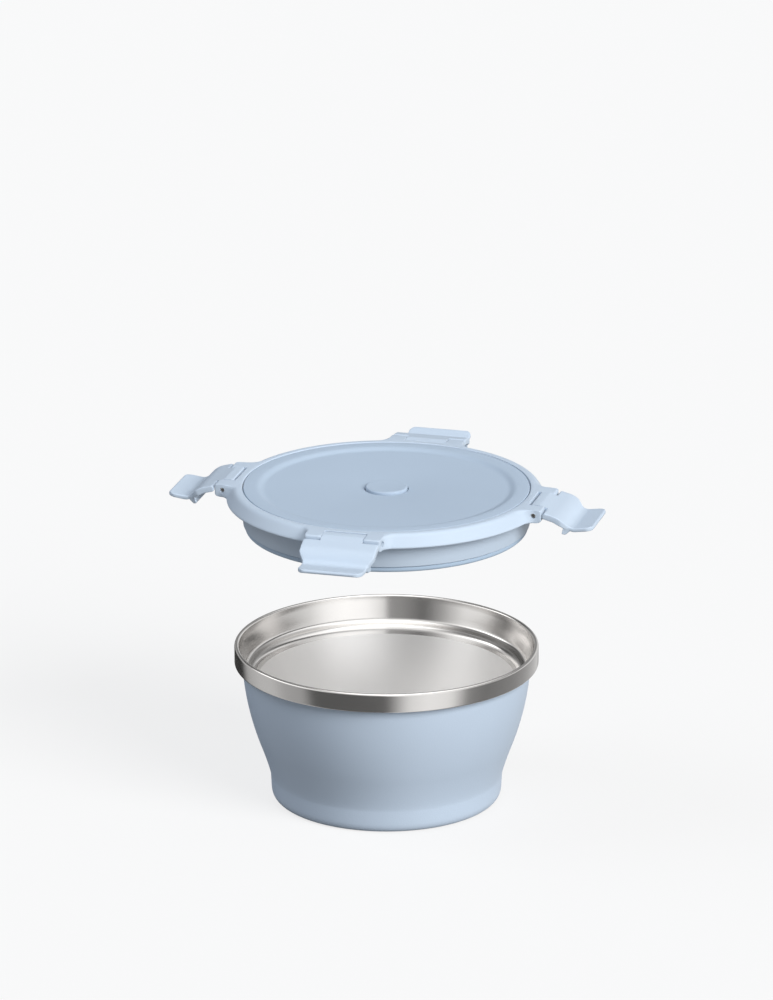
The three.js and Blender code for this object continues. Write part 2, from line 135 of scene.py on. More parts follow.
class BowlSizes(bpy.types.PropertyGroup):
    """Sizes of the steel bowl"""

    rim_radius: length("Rim radius", "Outside of the bare steel band", LINER_HIGH.x)
    height: length("Height", "From the floor to the top of the rim", LINER_HIGH.z)
    band_height: length("Band height", "Bare steel band below the rim", 10.2 * MM)
    band_corner: length("Band corner", "Rounding at the band's lower edge", 1.0 * MM)
    lip: length("Lip", "Thickness across the folded rim", 2.4 * MM)
    mouth_taper: ratio("Mouth taper", "Radius lost for each metre of depth", 0.258)
    sheet: length("Sheet", "Thickness of the steel", 0.5 * MM)
    seam: length("Seam", "Gap between fixed pieces", 0.3 * MM)
    ledge_depth: length("Ledge depth", "Ledge for the lid's seal, below the rim", 13.9 * MM)
    ledge_width: length("Ledge width", "Flat part of the ledge", 2.4 * MM)
    ledge_corner: length("Ledge corner", "Hollow corner between mouth and ledge", 2.2 * MM)
    ledge_nose: length("Ledge nose", "Rounded inner edge of the ledge", 3.0 * MM)
    polish_depth: length("Polish depth", "How far the polish reaches down from the ledge", 4.6 * MM)
    polish_fade: length("Polish fade", "Height over which the polish turns to satin", 0.4 * MM)
    shell_tuck: length("Shell tuck", "How far the shell reaches up behind the band", 1.2 * MM)
    foot_radius: length("Foot radius", "Shell at the top of its foot", 61.15 * MM)
    foot_corner: length("Foot corner", "Rounding at the bottom of the foot", 5.0 * MM)
    foot_height: length("Foot height", "From the floor to the start of the flare", 12.0 * MM)
    foot_lean: ratio("Foot lean", "Outward lean of the foot", 0.06)
    foot_ring: length("Foot ring", "Width of the ring the bowl stands on", 6.0 * MM)
    base_recess: length("Base recess", "Bottom of the shell above the floor", 3.0 * MM)
    bore: length("Bore", "Radius of the hole the air was drawn out of", 2.0 * MM)
    waist_flare: length("Waist flare", "How much wider the waist is than the foot", 4.75 * MM)
    waist_height: length("Waist height", "From the floor to the waist", 28.0 * MM)
    belly_bulge: length("Belly bulge", "How far the belly swells past a straight line", 3.3 * MM)
    vacuum_space: length("Vacuum space", "Between liner and shell at the waist", 9.5 * MM)
    floor_height: length("Floor height", "Inside floor of the bowl", 7.5 * MM)
    steps: count("Steps", "Steps round the bowl", 192)


class LidSizes(bpy.types.PropertyGroup):
    """Sizes of the lid, with heights measured from the underside of its ring"""

    ring_height: length("Ring height", "Height of the ring", 7.0 * MM)
    ring_lean: length("Ring lean", "How far the ring's outer face leans in towards its top", 4.0 * MM)
    ring_rounding: length("Ring rounding", "Rounding at the ring's top edge", 2.0 * MM)
    ring_foot: length("Ring foot", "Rounding at the ring's lower edge", 0.8 * MM)
    ring_land: length("Ring land", "Top of the ring, from outside to the plate's recess", 8.2 * MM)
    recess_edge: length("Recess edge", "Rounding where the ring meets the plate", 0.45 * MM)
    pin_height: length("Pin height", "Hinge pins above the ring's underside", 3.8 * MM)
    wall: length("Wall", "Thickness of the lid's walls", 1.8 * MM)
    skirt_top: length("Skirt top", "Radius of the skirt under the ring", 75.9 * MM)
    skirt_radius: length("Skirt radius", "Radius of the skirt at the seal", 74.88 * MM)
    skirt_root: length("Skirt root", "Hollow rounding where the skirt meets the ring", 0.8 * MM)
    groove_depth: length("Groove depth", "Top of the seal groove", 12.6 * MM)
    groove_radius: length("Groove radius", "Inner wall of the seal groove", 69.96 * MM)
    groove_shelf: length("Groove shelf", "Lower face of the seal groove", 14.4 * MM)
    floor_depth: length("Floor depth", "Underside of the lid", 15.0 * MM)
    floor_radius: length("Floor radius", "Edge of the lid's underside", 71.56 * MM)
    vent_radius: length("Vent radius", "Raised middle of the underside", 10.0 * MM)
    vent_rise: length("Vent rise", "How far the middle is raised", 2.7 * MM)
    stem_bore: length("Stem bore", "Radius of the hole for the vent's stem", 3.35 * MM)
    plate_shelf: length("Plate shelf", "Shelf that carries the plate", 4.6 * MM)
    plate_thickness: length("Plate thickness", "Thickness of the top plate", 2.0 * MM)
    plate_gap: length("Plate gap", "Open joint between the plate and the ring", 0.25 * MM)
    plate_border: length("Plate border", "Flat border round the plate's recess", 7.4 * MM)
    plate_slope: length("Plate slope", "Width of the slope into the recess", 3.0 * MM)
    plate_softness: length("Plate softness", "Rounding above and below that slope", 6.0 * MM)
    plate_recess: length("Plate recess", "Depth of the recess", 1.5 * MM)
    plate_hole: length("Plate hole", "Radius of the hole for the button", 11.35 * MM)
    seal_lip: length("Seal lip", "Width of the seal's outer lip", 2.1 * MM)
    seal_rounding: length("Seal rounding", "Rounding of the seal's lower edge", 1.5 * MM)
    seal_tongue: length("Seal tongue", "Part of the seal in its groove", 1.6 * MM)
    seal_tongue_height: length("Seal tongue height", "Thickness of that part", 1.2 * MM)
    button_flange: length("Button flange", "Flange under the plate", 1.4 * MM)
    flange_thickness: length("Flange thickness", "Thickness of that flange", 1.2 * MM)
    button_edge: length("Button edge", "Rounding of the button", 0.8 * MM)
    button_dish: length("Button dish", "Hollow of the button's top", 0.25 * MM)
    stem_socket: length("Stem socket", "Depth of the socket in the button", 1.5 * MM)
    steps: count("Steps", "Steps round the turned pieces", 192)


class LatchSizes(bpy.types.PropertyGroup):
    """Sizes of the latches and their hinges, measured out and up from the pin of a shut latch"""

    heel_level: angle("Heel level", "Opening at which the knuckle's top is level with the ears", 75)
    width: length("Width", "Across one latch", 39.7 * MM)
    side_rounding: length("Side rounding", "Rounding along both sides", 0.6 * MM)
    notch_width: length("Notch width", "Gap between the ears", 22.5 * MM)
    notch_depth: length("Notch depth", "How far the notch reaches in behind the pin", 4.595 * MM)
    notch_edge: length("Notch edge", "Rounding of the notch's back edge", 0.4 * MM)
    ear_nose: length("Ear nose", "How far the ears stand out from the pin", 4.2 * MM)
    ear_top: length("Ear top", "Top of the ears above the pin", 2.9 * MM)
    ear_rounding: length("Ear rounding", "Rounding at the ears' top and lower edge", 1.1 * MM)
    ear_corner: length("Ear corner", "Rounding of the ears' outer corners", 0.7 * MM)
    ear_edge: length("Ear edge", "Rounding of the ears beside the notch", 0.35 * MM)
    ear_fillet: length("Ear fillet", "Hollow rounding from the ring to an ear", 5.0 * MM)
    pin_bore: length("Pin bore", "Radius of the hinge hole", 1.4 * MM)
    knuckle_width: length("Knuckle width", "Part of the latch between the ears", 22.0 * MM)
    knuckle_radius: length("Knuckle radius", "Round part of the knuckle", 3.6 * MM)
    knuckle_heel: length("Knuckle heel", "How far the knuckle reaches in behind the pin", 3.1 * MM)
    knuckle_top: length("Knuckle top", "Flat top of the open knuckle above the pin", 3.15 * MM)
    heel_rounding: length("Heel rounding", "Rounding of the heel's back edge and of the hook", 0.66 * MM)
    heel_front: length("Heel front", "Where the open knuckle's flat top ends", 1.4 * MM)
    wing_gap: length("Wing gap", "From the ears to the latch's wide part", 0.3 * MM)
    stand: length("Stand", "Outer face of a shut latch, out from the pin", 3.3 * MM)
    thickness: length("Thickness", "Thickness of the latch's plate", 2.3 * MM)
    elbow: length("Elbow", "Height from the hook up to the elbow", 2.65 * MM)
    elbow_rounding: length("Elbow rounding", "Rounding of the elbow", 12.0 * MM)
    hook_drop: length("Hook drop", "Top of the hook below the pin", 16.55 * MM)
    hook_reach: length("Hook reach", "Tip of the hook behind the pin", 5.1 * MM)
    hook_thickness: length("Hook thickness", "Thickness of the hook", 2.0 * MM)
    band_face: length("Band face", "Face of the steel band behind the pin", 3.5 * MM)
    crease_drop: length("Crease drop", "From the hook's top down to the crease", 3.35 * MM)
    crease_rounding: length("Crease rounding", "Hollow rounding of the crease", 5.0 * MM)
    tab_length: length("Tab length", "Length of the finger tab", 12.0 * MM)
    tab_tilt: angle("Tab tilt", "Outward lean of the tab when shut", 23)
    tab_thickness: length("Tab thickness", "Thickness of the finger tab", 2.0 * MM)
    tab_width: length("Tab width", "Width of the finger tab", 34.0 * MM)
    tab_corner: length("Tab corner", "Rounded corners of the finger tab", 4.5 * MM)
    rib: length("Rib", "How much thicker the plate is along both sides", 1.0 * MM)
    rib_width: length("Rib width", "Width of these thicker sides", 1.8 * MM)


class Finishes(bpy.types.PropertyGroup):
    """Colours and tones of the finishes"""

    coat: colour("Powder coat", "Coated outer shell", 189, 204, 221)
    plastic: colour("Lid plastic", "Lid and latches", 193, 208, 224)
    # The top's colour is the lid plastic made darker: painted shade on the upward-facing top
    texture: colour("Textured plastic", "Top of the lid", 175, 191, 208)
    silicone: colour("Silicone", "Soft seals", 172, 192, 212)
    steel: colour("Bare steel", "Liner, band and rim", 214, 212, 210)
    satin_roughness: ratio("Satin roughness", "Roughness that satin adds to polished steel", 0.22)
    # This whiteness is partly the satin's own paleness and partly painted light inside the bowl
    satin_paleness_and_painted_light: ratio("Satin paleness", "How far satin is whiter than polished steel", 0.5)
    wire: colour("Spring steel", "Spring and hinge pins", 170, 170, 168)
    getter: colour("Getter alloy", "Puck in the vacuum space", 118, 118, 122)
    glass: colour("Sealing glass", "Bead over the bore", 92, 96, 102)


class StageSettings(bpy.types.PropertyGroup):
    """Camera, floor and light"""

    azimuth: angle("Azimuth", "Turn of the camera about the bowl", 15)
    elevation: angle("Elevation", "Downward view of the camera", 18.185)
    distance: length("Distance", "From the camera to the point it looks at", 3.4)
    aim_height: length("Aim height", "Height of the point the camera looks at", 163.16 * MM)
    lens: FloatProperty(name="Lens", description="Focal length", default=234.48, unit="CAMERA")
    floor_radius: length("Floor radius", "Reach of the plain floor", 9.0)
    floor: colour("Floor", "Floor and background", 247, 247, 247)
    floor_plainness: ratio("Floor plainness", "Share of the floor's own colour over the shadows", 0.82)
    bounce: colour("Bounce", "Light that the floor throws back up", 130, 130, 130)
    softness: angle("Softness", "Spread of each lamp", 36)
    ambient: ratio("Ambient", "Even light from all round", 0.35)
    ceiling: ratio("Ceiling", "Brightness overhead, as metal and gloss mirror it", 2.5)


class LunchBowl(bpy.types.PropertyGroup):
    """All settings of the lunch bowl"""

    bowl: PointerProperty(type=BowlSizes)
    lid: PointerProperty(type=LidSizes)
    latch: PointerProperty(type=LatchSizes)
    finish: PointerProperty(type=Finishes)
    stage: PointerProperty(type=StageSettings)


# Outlines

class Profile:
    """A line of (out, up) points, drawn from straight lines, curves and arcs."""

    def __init__(self, x, y):
        self.points = [Vector((x, y))]

    def line(self, x, y, steps=1):
        """A straight line to a point."""
        start = self.points[-1]
        end = Vector((x, y))
        self.points += [start.lerp(end, step / steps) for step in range(1, steps + 1)]
        return self

    def curve(self, control_x, control_y, x, y, steps=16):
        """A curve to a point, drawn towards one control point."""
        start = self.points[-1]
        control = Vector((control_x, control_y))
        end = Vector((x, y))
        for step in range(1, steps + 1):
            share = step / steps
            self.points.append(start.lerp(control, share).lerp(control.lerp(end, share), share))
        return self

    def arc(self, centre_x, centre_y, radius, start, end, steps=16):
        """A round stretch about a centre, between two angles in degrees."""
        for step in range(1, steps + 1):
            turn = math.radians(start + (end - start) * step / steps)
            point = Vector((centre_x + radius * math.cos(turn), centre_y + radius * math.sin(turn)))
            self.points.append(point)
        return self


def corner_arc(before, here, after, radius, steps):
    """Points that round the corner at one point between its neighbours."""
    back = (before - here).normalized()
    ahead = (after - here).normalized()
    half = back.angle(ahead) / 2
    reach = radius / math.tan(half)
    middle = here + (back + ahead).normalized() * radius / math.sin(half)
    first = here + back * reach - middle
    sweep = first.angle_signed(here + ahead * reach - middle)
    turns = [Matrix.Rotation(-sweep * step / steps, 2) for step in range(steps + 1)]
    return [middle + turn @ first for turn in turns]


def rounded(corners, steps=4, closed=True):
    """Points of an outline whose corners are (out, up, rounding). An open one keeps its end points."""
    places = [Vector(corner[:2]) for corner in corners]
    total = len(corners)
    points = []
    for i, corner in enumerate(corners):
        radius = corner[2]
        at_end = not closed and i in (0, total - 1)
        if radius == 0 or at_end:
            points.append(places[i])
        else:
            points += corner_arc(places[i - 1], places[i], places[(i + 1) % total], radius, steps)
    return points


def left_of(start, end):
    """The direction to the left of travel from one point to another."""
    along = (end - start).normalized()
    return Vector((-along.y, along.x))


def moved(point, before, after, distance):
    """A point of an outline moved between the directions to the left of its two lines."""
    return point + (before + after) * distance / (1 + before.dot(after))


def sheet_outline(face, thickness):
    """Closed outline of a sheet. Its seen face follows the points, and it lies to their left."""
    last = len(face) - 1
    back = []
    for i, point in enumerate(face):
        before = left_of(face[max(i - 1, 0)], face[max(i, 1)])
        after = left_of(face[min(i, last - 1)], face[min(i + 1, last)])
        back.append(moved(point, before, after, thickness))
    return face + back[::-1]


def inset(loop, distance):
    """A closed outline drawn inwards. The outline lies to the left of its line."""
    total = len(loop)
    points = []
    for i, point in enumerate(loop):
        before = left_of(loop[i - 1], point)
        after = left_of(point, loop[(i + 1) % total])
        points.append(moved(point, before, after, distance))
    return points


def resampled(points, total):
    """The same line with evenly spaced points."""
    spans = [(b - a).length for a, b in zip(points, points[1:])]
    step = sum(spans) / (total - 1)
    result = [points[0]]
    passed = 0.0
    i = 0
    for n in range(1, total - 1):
        while passed + spans[i] < n * step:
            passed += spans[i]
            i += 1
        result.append(points[i].lerp(points[i + 1], (n * step - passed) / spans[i]))
    return result + [points[-1]]


# Meshes

def new_object(name, vertices, faces=()):
    """A mesh object in the scene."""
    mesh = bpy.data.meshes.new(name)
    mesh.from_pydata(vertices, [], faces)
    made = bpy.data.objects.new(name, mesh)
    bpy.context.scene.collection.objects.link(made)
    return made


def settle(piece):
    """Weld a closed piece, point its faces outwards and shade it smooth between sharp edges."""
    work = bmesh.new()
    work.from_mesh(piece.data)
    bmesh.ops.remove_doubles(work, verts=work.verts, dist=WELD)
    bmesh.ops.dissolve_degenerate(work, edges=work.edges, dist=WELD)
    bmesh.ops.delete(work, geom=[edge for edge in work.edges if edge.is_wire], context="EDGES")
    bmesh.ops.recalc_face_normals(work, faces=work.faces)
    work.to_mesh(piece.data)
    work.free()
    piece.data.shade_smooth()
    piece.data.set_sharp_from_angle(angle=SHARP_EDGE)
    return piece


def bake_modifiers(piece):
    """Keep what the modifiers make as the piece's own mesh, and remove them."""
    evaluated = piece.evaluated_get(bpy.context.evaluated_depsgraph_get())
    mesh = bpy.data.meshes.new_from_object(evaluated)
    piece.modifiers.clear()
    piece.data = mesh
    return piece


def lofted(name, loops, caps=None):
    """A closed skin over loops of points. It runs on round to the first loop, or has end faces."""
    size = len(loops[0])
    total = len(loops)
    vertices = [point for loop in loops for point in loop]
    faces = []
    for c in range(total if caps is None else total - 1):
        here = c * size
        beyond = (c + 1) % total * size
        for i in range(size):
            j = (i + 1) % size
            faces.append((here + i, here + j, beyond + j, beyond + i))
    for end in (0, (total - 1) * size):
        faces += [tuple(end + i for i in face) for face in caps or ()]
    return settle(new_object(name, vertices, faces))


def combined(piece, other, operation):
    """Add another mesh object to a piece or cut it out, and delete that object."""
    change = piece.modifiers.new(operation, "BOOLEAN")
    change.operation = operation
    change.solver = "MANIFOLD"
    change.object = other
    bake_modifiers(piece)
    bpy.data.objects.remove(other)
    return settle(piece)


def mirrored(loops):
    """Loops of the other half, from the far end up to the middle, without the middle one."""
    return [[Vector((point.x, -point.y, point.z)) for point in loop] for loop in loops[:0:-1]]


def bars(radius, reach, places):
    """Round bars for drilling, each with a matrix that places it."""
    work = bmesh.new()
    sizes = {"segments": 32, "radius1": radius, "radius2": radius, "depth": reach}
    for spot in places:
        bmesh.ops.create_cone(work, cap_ends=True, matrix=spot, **sizes)
    made = new_object("bars", [])
    work.to_mesh(made.data)
    work.free()
    return settle(made)


def give(piece, material):
    """Cover the whole piece with one material."""
    piece.data.materials.clear()
    piece.data.materials.append(material)
    for face in piece.data.polygons:
        face.material_index = 0


def place(piece, body, slot, *nodes):
    """Tie a finished piece to its body and hide the nodes it stands for.

    As in the photograph, the steel of the bowl doesn't mirror the lid held above it. The slot argument
    is not used.
    """
    piece.visible_glossy = body == "bowl"
    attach(piece, body)
    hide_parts(*nodes)


# Geometry Nodes

def add(tree, kind, inputs=None, **settings):
    """Add a node with its settings, and fill or link its inputs."""
    made = tree.nodes.new(kind)
    for key, value in settings.items():
        setattr(made, key, value)
    for key, value in (inputs or {}).items():
        if isinstance(value, bpy.types.NodeSocket):
            tree.links.new(value, made.inputs[key])
        else:
            made.inputs[key].default_value = value
    return made


def first_of(tree, kind, inputs=None, **settings):
    """Add a node and give back its first output."""
    return add(tree, kind, inputs, **settings).outputs[0]


def calculate(tree, operation, *values):
    """Add a Math node and give back its result."""
    return first_of(tree, "ShaderNodeMath", dict(enumerate(values)), operation=operation)


def new_group(name, kind, inputs, outputs):
    """An empty node group with its sockets, as (tree, group input, group output)."""
    tree = bpy.data.node_groups.new(name, kind)
    for socket, socket_kind, default in inputs:
        made = tree.interface.new_socket(socket, in_out="INPUT", socket_type=socket_kind)
        if default is not None:
            made.default_value = default
    for socket, socket_kind in outputs:
        tree.interface.new_socket(socket, in_out="OUTPUT", socket_type=socket_kind)
    start = tree.nodes.new("NodeGroupInput").outputs
    end = tree.nodes.new("NodeGroupOutput").inputs
    return tree, start, end


def piece_tree(name, inputs):
    """An empty Geometry Nodes tree that puts out one piece, as (tree, group input, group output)."""
    return new_group(name, "GeometryNodeTree", inputs, [("Piece", "NodeSocketGeometry")])


def run_nodes(piece, tree, values):
    """Run a tree on a piece with named inputs, and keep the result as its mesh."""
    modifier = piece.modifiers.new(tree.name, "NODES")
    modifier.node_group = tree
    for item in tree.interface.items_tree:
        if item.in_out == "INPUT" and item.name in values:
            modifier[item.identifier] = values[item.name]
    return bake_modifiers(piece)


def finish_tree(tree, geometry, material, result):
    """End a tree with real geometry that has its material."""
    real = first_of(tree, "GeometryNodeRealizeInstances", {"Geometry": geometry})
    covered = first_of(tree, "GeometryNodeSetMaterial", {"Geometry": real, "Material": material})
    tree.links.new(covered, result)


def raised(tree, geometry, height):
    """Lift geometry to a height."""
    lift = first_of(tree, "ShaderNodeCombineXYZ", {"Z": height})
    return first_of(tree, "GeometryNodeTransform", {"Geometry": geometry, "Translation": lift})


def share_of_turn(tree, number, steps):
    """The turn at one of the even steps of a full turn."""
    return calculate(tree, "MULTIPLY", calculate(tree, "DIVIDE", number, steps), math.tau)


def turning_tree():
    """Turns the points of a profile about an upright axis."""
    name = "Turn Profile"
    if name in bpy.data.node_groups:
        return bpy.data.node_groups[name]
    inputs = [
        ("Profile", "NodeSocketGeometry", None),
        ("Steps", "NodeSocketInt", 96),
        ("Centre", "NodeSocketVector", None),
        ("Weld", "NodeSocketFloat", WELD),
        ("Material", "NodeSocketMaterial", None),
    ]
    tree, start, end = piece_tree(name, inputs)
    profile = start["Profile"]
    rows = first_of(tree, "GeometryNodeAttributeDomainSize", {"Geometry": profile}, component="MESH")
    columns = calculate(tree, "ADD", start["Steps"], 1)
    grid = first_of(tree, "GeometryNodeMeshGrid", {"Vertices X": columns, "Vertices Y": rows})
    index = first_of(tree, "GeometryNodeInputIndex")
    row = calculate(tree, "FLOORED_MODULO", index, rows)
    column = calculate(tree, "FLOOR", calculate(tree, "DIVIDE", index, rows))
    position = first_of(tree, "GeometryNodeInputPosition")
    sample = add(
        tree,
        "GeometryNodeSampleIndex",
        {"Geometry": profile, "Value": position, "Index": row},
        data_type="FLOAT_VECTOR",
        domain="POINT",
    )
    point = add(tree, "ShaderNodeSeparateXYZ", {"Vector": sample.outputs["Value"]}).outputs
    turn = share_of_turn(tree, column, start["Steps"])
    out_x = calculate(tree, "MULTIPLY", point["X"], calculate(tree, "COSINE", turn))
    out_y = calculate(tree, "MULTIPLY", point["X"], calculate(tree, "SINE", turn))
    spot = first_of(tree, "ShaderNodeCombineXYZ", {"X": out_x, "Y": out_y, "Z": point["Z"]})
    placed = first_of(tree, "ShaderNodeVectorMath", {0: spot, 1: start["Centre"]}, operation="ADD")
    shaped = first_of(tree, "GeometryNodeSetPosition", {"Geometry": grid, "Position": placed})
    weld = {"Geometry": shaped, "Distance": start["Weld"]}
    welded = first_of(tree, "GeometryNodeMergeByDistance", weld)
    finish_tree(tree, welded, start["Material"], end["Piece"])
    return tree


def spring_tree():
    """Winds a round wire into an upright spring."""
    sizes = ("Wire Radius", "Coil Radius", "Turns", "Bottom", "Height")
    inputs = [(size, "NodeSocketFloat", None) for size in sizes]
    inputs.append(("Material", "NodeSocketMaterial", None))
    tree, start, end = piece_tree("Wind Spring", inputs)
    coil = first_of(
        tree,
        "GeometryNodeCurveSpiral",
        {
            "Resolution": 48,
            "Rotations": start["Turns"],
            "Start Radius": start["Coil Radius"],
            "End Radius": start["Coil Radius"],
            "Height": start["Height"],
        },
    )
    path = raised(tree, coil, start["Bottom"])
    circle = {"Resolution": 16, "Radius": start["Wire Radius"]}
    wire = first_of(tree, "GeometryNodeCurvePrimitiveCircle", circle)
    route = {"Curve": path, "Profile Curve": wire, "Fill Caps": True}
    wound = first_of(tree, "GeometryNodeCurveToMesh", route)
    finish_tree(tree, wound, start["Material"], end["Piece"])
    return tree


def sides_tree():
    """Repeats an upright piece round the lid, laid across each side at the hinge."""
    inputs = [
        ("Part", "NodeSocketGeometry", None),
        ("Sides", "NodeSocketInt", len(SIDES)),
        ("Radius", "NodeSocketFloat", None),
        ("Height", "NodeSocketFloat", None),
        ("Material", "NodeSocketMaterial", None),
    ]
    tree, start, end = piece_tree("Round The Lid", inputs)
    circle = {"Vertices": start["Sides"], "Radius": start["Radius"]}
    spots = raised(tree, first_of(tree, "GeometryNodeMeshCircle", circle), start["Height"])
    lying = {"Geometry": start["Part"], "Rotation": CROSSWISE.to_euler()}
    laid = first_of(tree, "GeometryNodeTransform", lying)
    turn = share_of_turn(tree, first_of(tree, "GeometryNodeInputIndex"), start["Sides"])
    facing = first_of(tree, "ShaderNodeCombineXYZ", {"Z": turn})
    copies = {"Points": spots, "Instance": laid, "Rotation": facing}
    placed = first_of(tree, "GeometryNodeInstanceOnPoints", copies)
    finish_tree(tree, placed, start["Material"], end["Piece"])
    return tree


def turned(name, profile, material, steps, centre=(0.0, 0.0, 0.0)):
    """A piece turned from a closed profile. A profile that starts on the axis ends there too."""
    points = list(profile)
    if points[0].x > WELD:
        points.append(points[0])
    piece = new_object(name, [(point.x, 0.0, point.y) for point in points])
    values = {"Steps": steps, "Centre": centre, "Weld": WELD, "Material": material}
    return settle(run_nodes(piece, turning_tree(), values))


def disc(name, node, edge, material, steps):
    """A round disc in the place of a node, with rounded edges."""
    low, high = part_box(node)
    radius = (high.x - low.x) / 2
    corners = [(0, low.z, 0), (radius, low.z, edge), (radius, high.z, edge), (0, high.z, 0)]
    middle = ((low.x + high.x) / 2, (low.y + high.y) / 2, 0.0)
    return turned(name, rounded(corners), material, steps, middle)


# Shared surface effects

def noise(tree, vector, scale, detail, roughness):
    """Values from 0 to 1 that change from place to place."""
    inputs = {"Vector": vector, "Scale": scale, "Detail": detail, "Roughness": roughness}
    return first_of(tree, "ShaderNodeTexNoise", inputs)


def pattern_group(name, default_size):
    """An empty effect that puts out a height for bump and a shade from 0 to 1."""
    inputs = [("Vector", "NodeSocketVector", None), ("Size", "NodeSocketFloat", default_size)]
    outputs = [("Height", "NodeSocketFloat"), ("Shade", "NodeSocketFloat")]
    return new_group(name, "ShaderNodeTree", inputs, outputs)


def grain_group():
    """Fine even grain."""
    name = "Fine Grain"
    if name in bpy.data.node_groups:
        return bpy.data.node_groups[name]
    tree, start, end = pattern_group(name, 0.5 * MM)
    scale = calculate(tree, "DIVIDE", 1.0, start["Size"])
    coarse = noise(tree, start["Vector"], scale, detail=2.0, roughness=0.55)
    where = {"Vector": start["Vector"], "Scale": scale}
    cells = first_of(tree, "ShaderNodeTexVoronoi", where, feature="SMOOTH_F1")
    tree.links.new(calculate(tree, "SUBTRACT", coarse, cells), end["Height"])
    tree.links.new(coarse, end["Shade"])
    return tree


def lines_group():
    """Fine lines left by turning against a belt, round the upright axis."""
    name = "Turning Lines"
    if name in bpy.data.node_groups:
        return bpy.data.node_groups[name]
    tree, start, end = pattern_group(name, 0.3 * MM)
    spot = add(tree, "ShaderNodeSeparateXYZ", {"Vector": start["Vector"]}).outputs
    across = calculate(tree, "MULTIPLY", spot["X"], spot["X"])
    beside = calculate(tree, "MULTIPLY", spot["Y"], spot["Y"])
    radius = calculate(tree, "SQRT", calculate(tree, "ADD", across, beside))
    turn = calculate(tree, "ARCTAN2", spot["Y"], spot["X"])
    fine_radius = calculate(tree, "DIVIDE", radius, start["Size"])
    fine_height = calculate(tree, "DIVIDE", spot["Z"], start["Size"])
    grid = first_of(tree, "ShaderNodeCombineXYZ", {"X": fine_radius, "Y": turn, "Z": fine_height})
    lines = noise(tree, grid, scale=1.0, detail=2.0, roughness=0.6)
    for result in ("Height", "Shade"):
        tree.links.new(lines, end[result])
    return tree


def drift_group():
    """Slow change of tone over a surface: a colour that is a little lighter here and darker there."""
    name = "Tone Drift"
    if name in bpy.data.node_groups:
        return bpy.data.node_groups[name]
    inputs = [
        ("Vector", "NodeSocketVector", None),
        ("Color", "NodeSocketColor", None),
        ("Size", "NodeSocketFloat", 30 * MM),
        ("Amount", "NodeSocketFloat", 0.05),
    ]
    tree, start, end = new_group(name, "ShaderNodeTree", inputs, [("Color", "NodeSocketColor")])
    scale = calculate(tree, "DIVIDE", 1.0, start["Size"])
    cloud = noise(tree, start["Vector"], scale, detail=3.0, roughness=0.5)
    swing = calculate(tree, "MULTIPLY", calculate(tree, "SUBTRACT", cloud, 0.5), start["Amount"])
    factor = calculate(tree, "ADD", swing, 1.0)
    scaling = {0: start["Color"], "Scale": factor}
    toned = first_of(tree, "ShaderNodeVectorMath", scaling, operation="SCALE")
    tree.links.new(toned, end["Color"])
    return tree


def opaque(tint):
    """A colour property as a socket colour."""
    return (*tint, 1.0)


def between(tree, value, low, high):
    """0 below one value, 1 above another."""
    limits = {"Value": value, "From Min": low, "From Max": high}
    return first_of(tree, "ShaderNodeMapRange", limits, interpolation_type="SMOOTHSTEP")


def blended(tree, share, first, second):
    """One colour that goes over into another."""
    # Inputs 6 and 7 and output 2 of a Mix node are its colours
    colours = {"Factor": share, 6: first, 7: second}
    return add(tree, "ShaderNodeMix", colours, data_type="RGBA").outputs[2]


# Finishes

# Strength of bump and size of the changes of tone, for grain and for turning lines
GRAIN_BUMP = 0.5
GRAIN_TONE = 35 * MM
LINE_BUMP = 0.3
LINE_TONE = 25 * MM

# Depth of turning lines and how much the tone of bare metal changes
LINE_DEPTH = 0.01 * MM
LINE_DRIFT = 0.06

WHITE = (1.0, 1.0, 1.0, 1.0)


class Surface:
    """A material with a fine pattern in its surface and slow changes of tone.

    The pattern is a shared effect with a size, a depth and a strength of bump. The tone has a size and
    an amount. The roughness runs between two values. Other values go on the shader's own sockets.
    """

    def __init__(self, name, tint, pattern, size, depth, strength, tone, roughness, **values):
        self.material = bpy.data.materials.new(name)
        self.material.use_nodes = True
        self.tree = self.material.node_tree
        self.shader = self.tree.nodes["Principled BSDF"].inputs
        for key, value in values.items():
            self.shader[key.replace("_", " ")].default_value = value
        self.spot = add(self.tree, "ShaderNodeTexCoord").outputs["Object"]
        fine = self.effect(pattern, {"Size": size})
        drift = {"Color": opaque(tint), "Size": tone[0], "Amount": tone[1]}
        self.tone = self.effect(drift_group(), drift)["Color"]
        spread = {"Value": fine["Shade"], "To Min": roughness[0], "To Max": roughness[1]}
        self.roughness = first_of(self.tree, "ShaderNodeMapRange", spread)
        bump = {"Height": fine["Height"], "Strength": strength, "Distance": depth}
        self.link(first_of(self.tree, "ShaderNodeBump", bump), "Normal")
        self.link(self.tone, "Base Color")
        self.link(self.roughness, "Roughness")

    def effect(self, group, values):
        """Place a shared effect in the material."""
        inputs = {"Vector": self.spot, **values}
        return add(self.tree, "ShaderNodeGroup", inputs, node_tree=group).outputs

    def link(self, value, socket):
        """Link a value to one of the shader's sockets."""
        self.tree.links.new(value, self.shader[socket])


def moulded(name, tint, size, depth, drift, roughness, **values):
    """A painted, moulded or rubber finish with a fine grain."""
    if name in bpy.data.materials:
        return bpy.data.materials[name]
    tone = (GRAIN_TONE, drift)
    surface = Surface(name, tint, grain_group(), size, depth, GRAIN_BUMP, tone, roughness, **values)
    return surface.material


def turned_metal(name, tint, size, roughness):
    """Bare metal with fine lines round the upright axis."""
    tone = (LINE_TONE, LINE_DRIFT)
    return Surface(name, tint, lines_group(), size, LINE_DEPTH, LINE_BUMP, tone, roughness, Metallic=1.0)


def coat_finish(finish):
    """Powder coat: a fine orange peel."""
    return moulded(
        "shell_coat",
        finish.coat,
        size=0.7 * MM,
        depth=0.05 * MM,
        drift=0.06,
        roughness=(0.42, 0.52),
    )


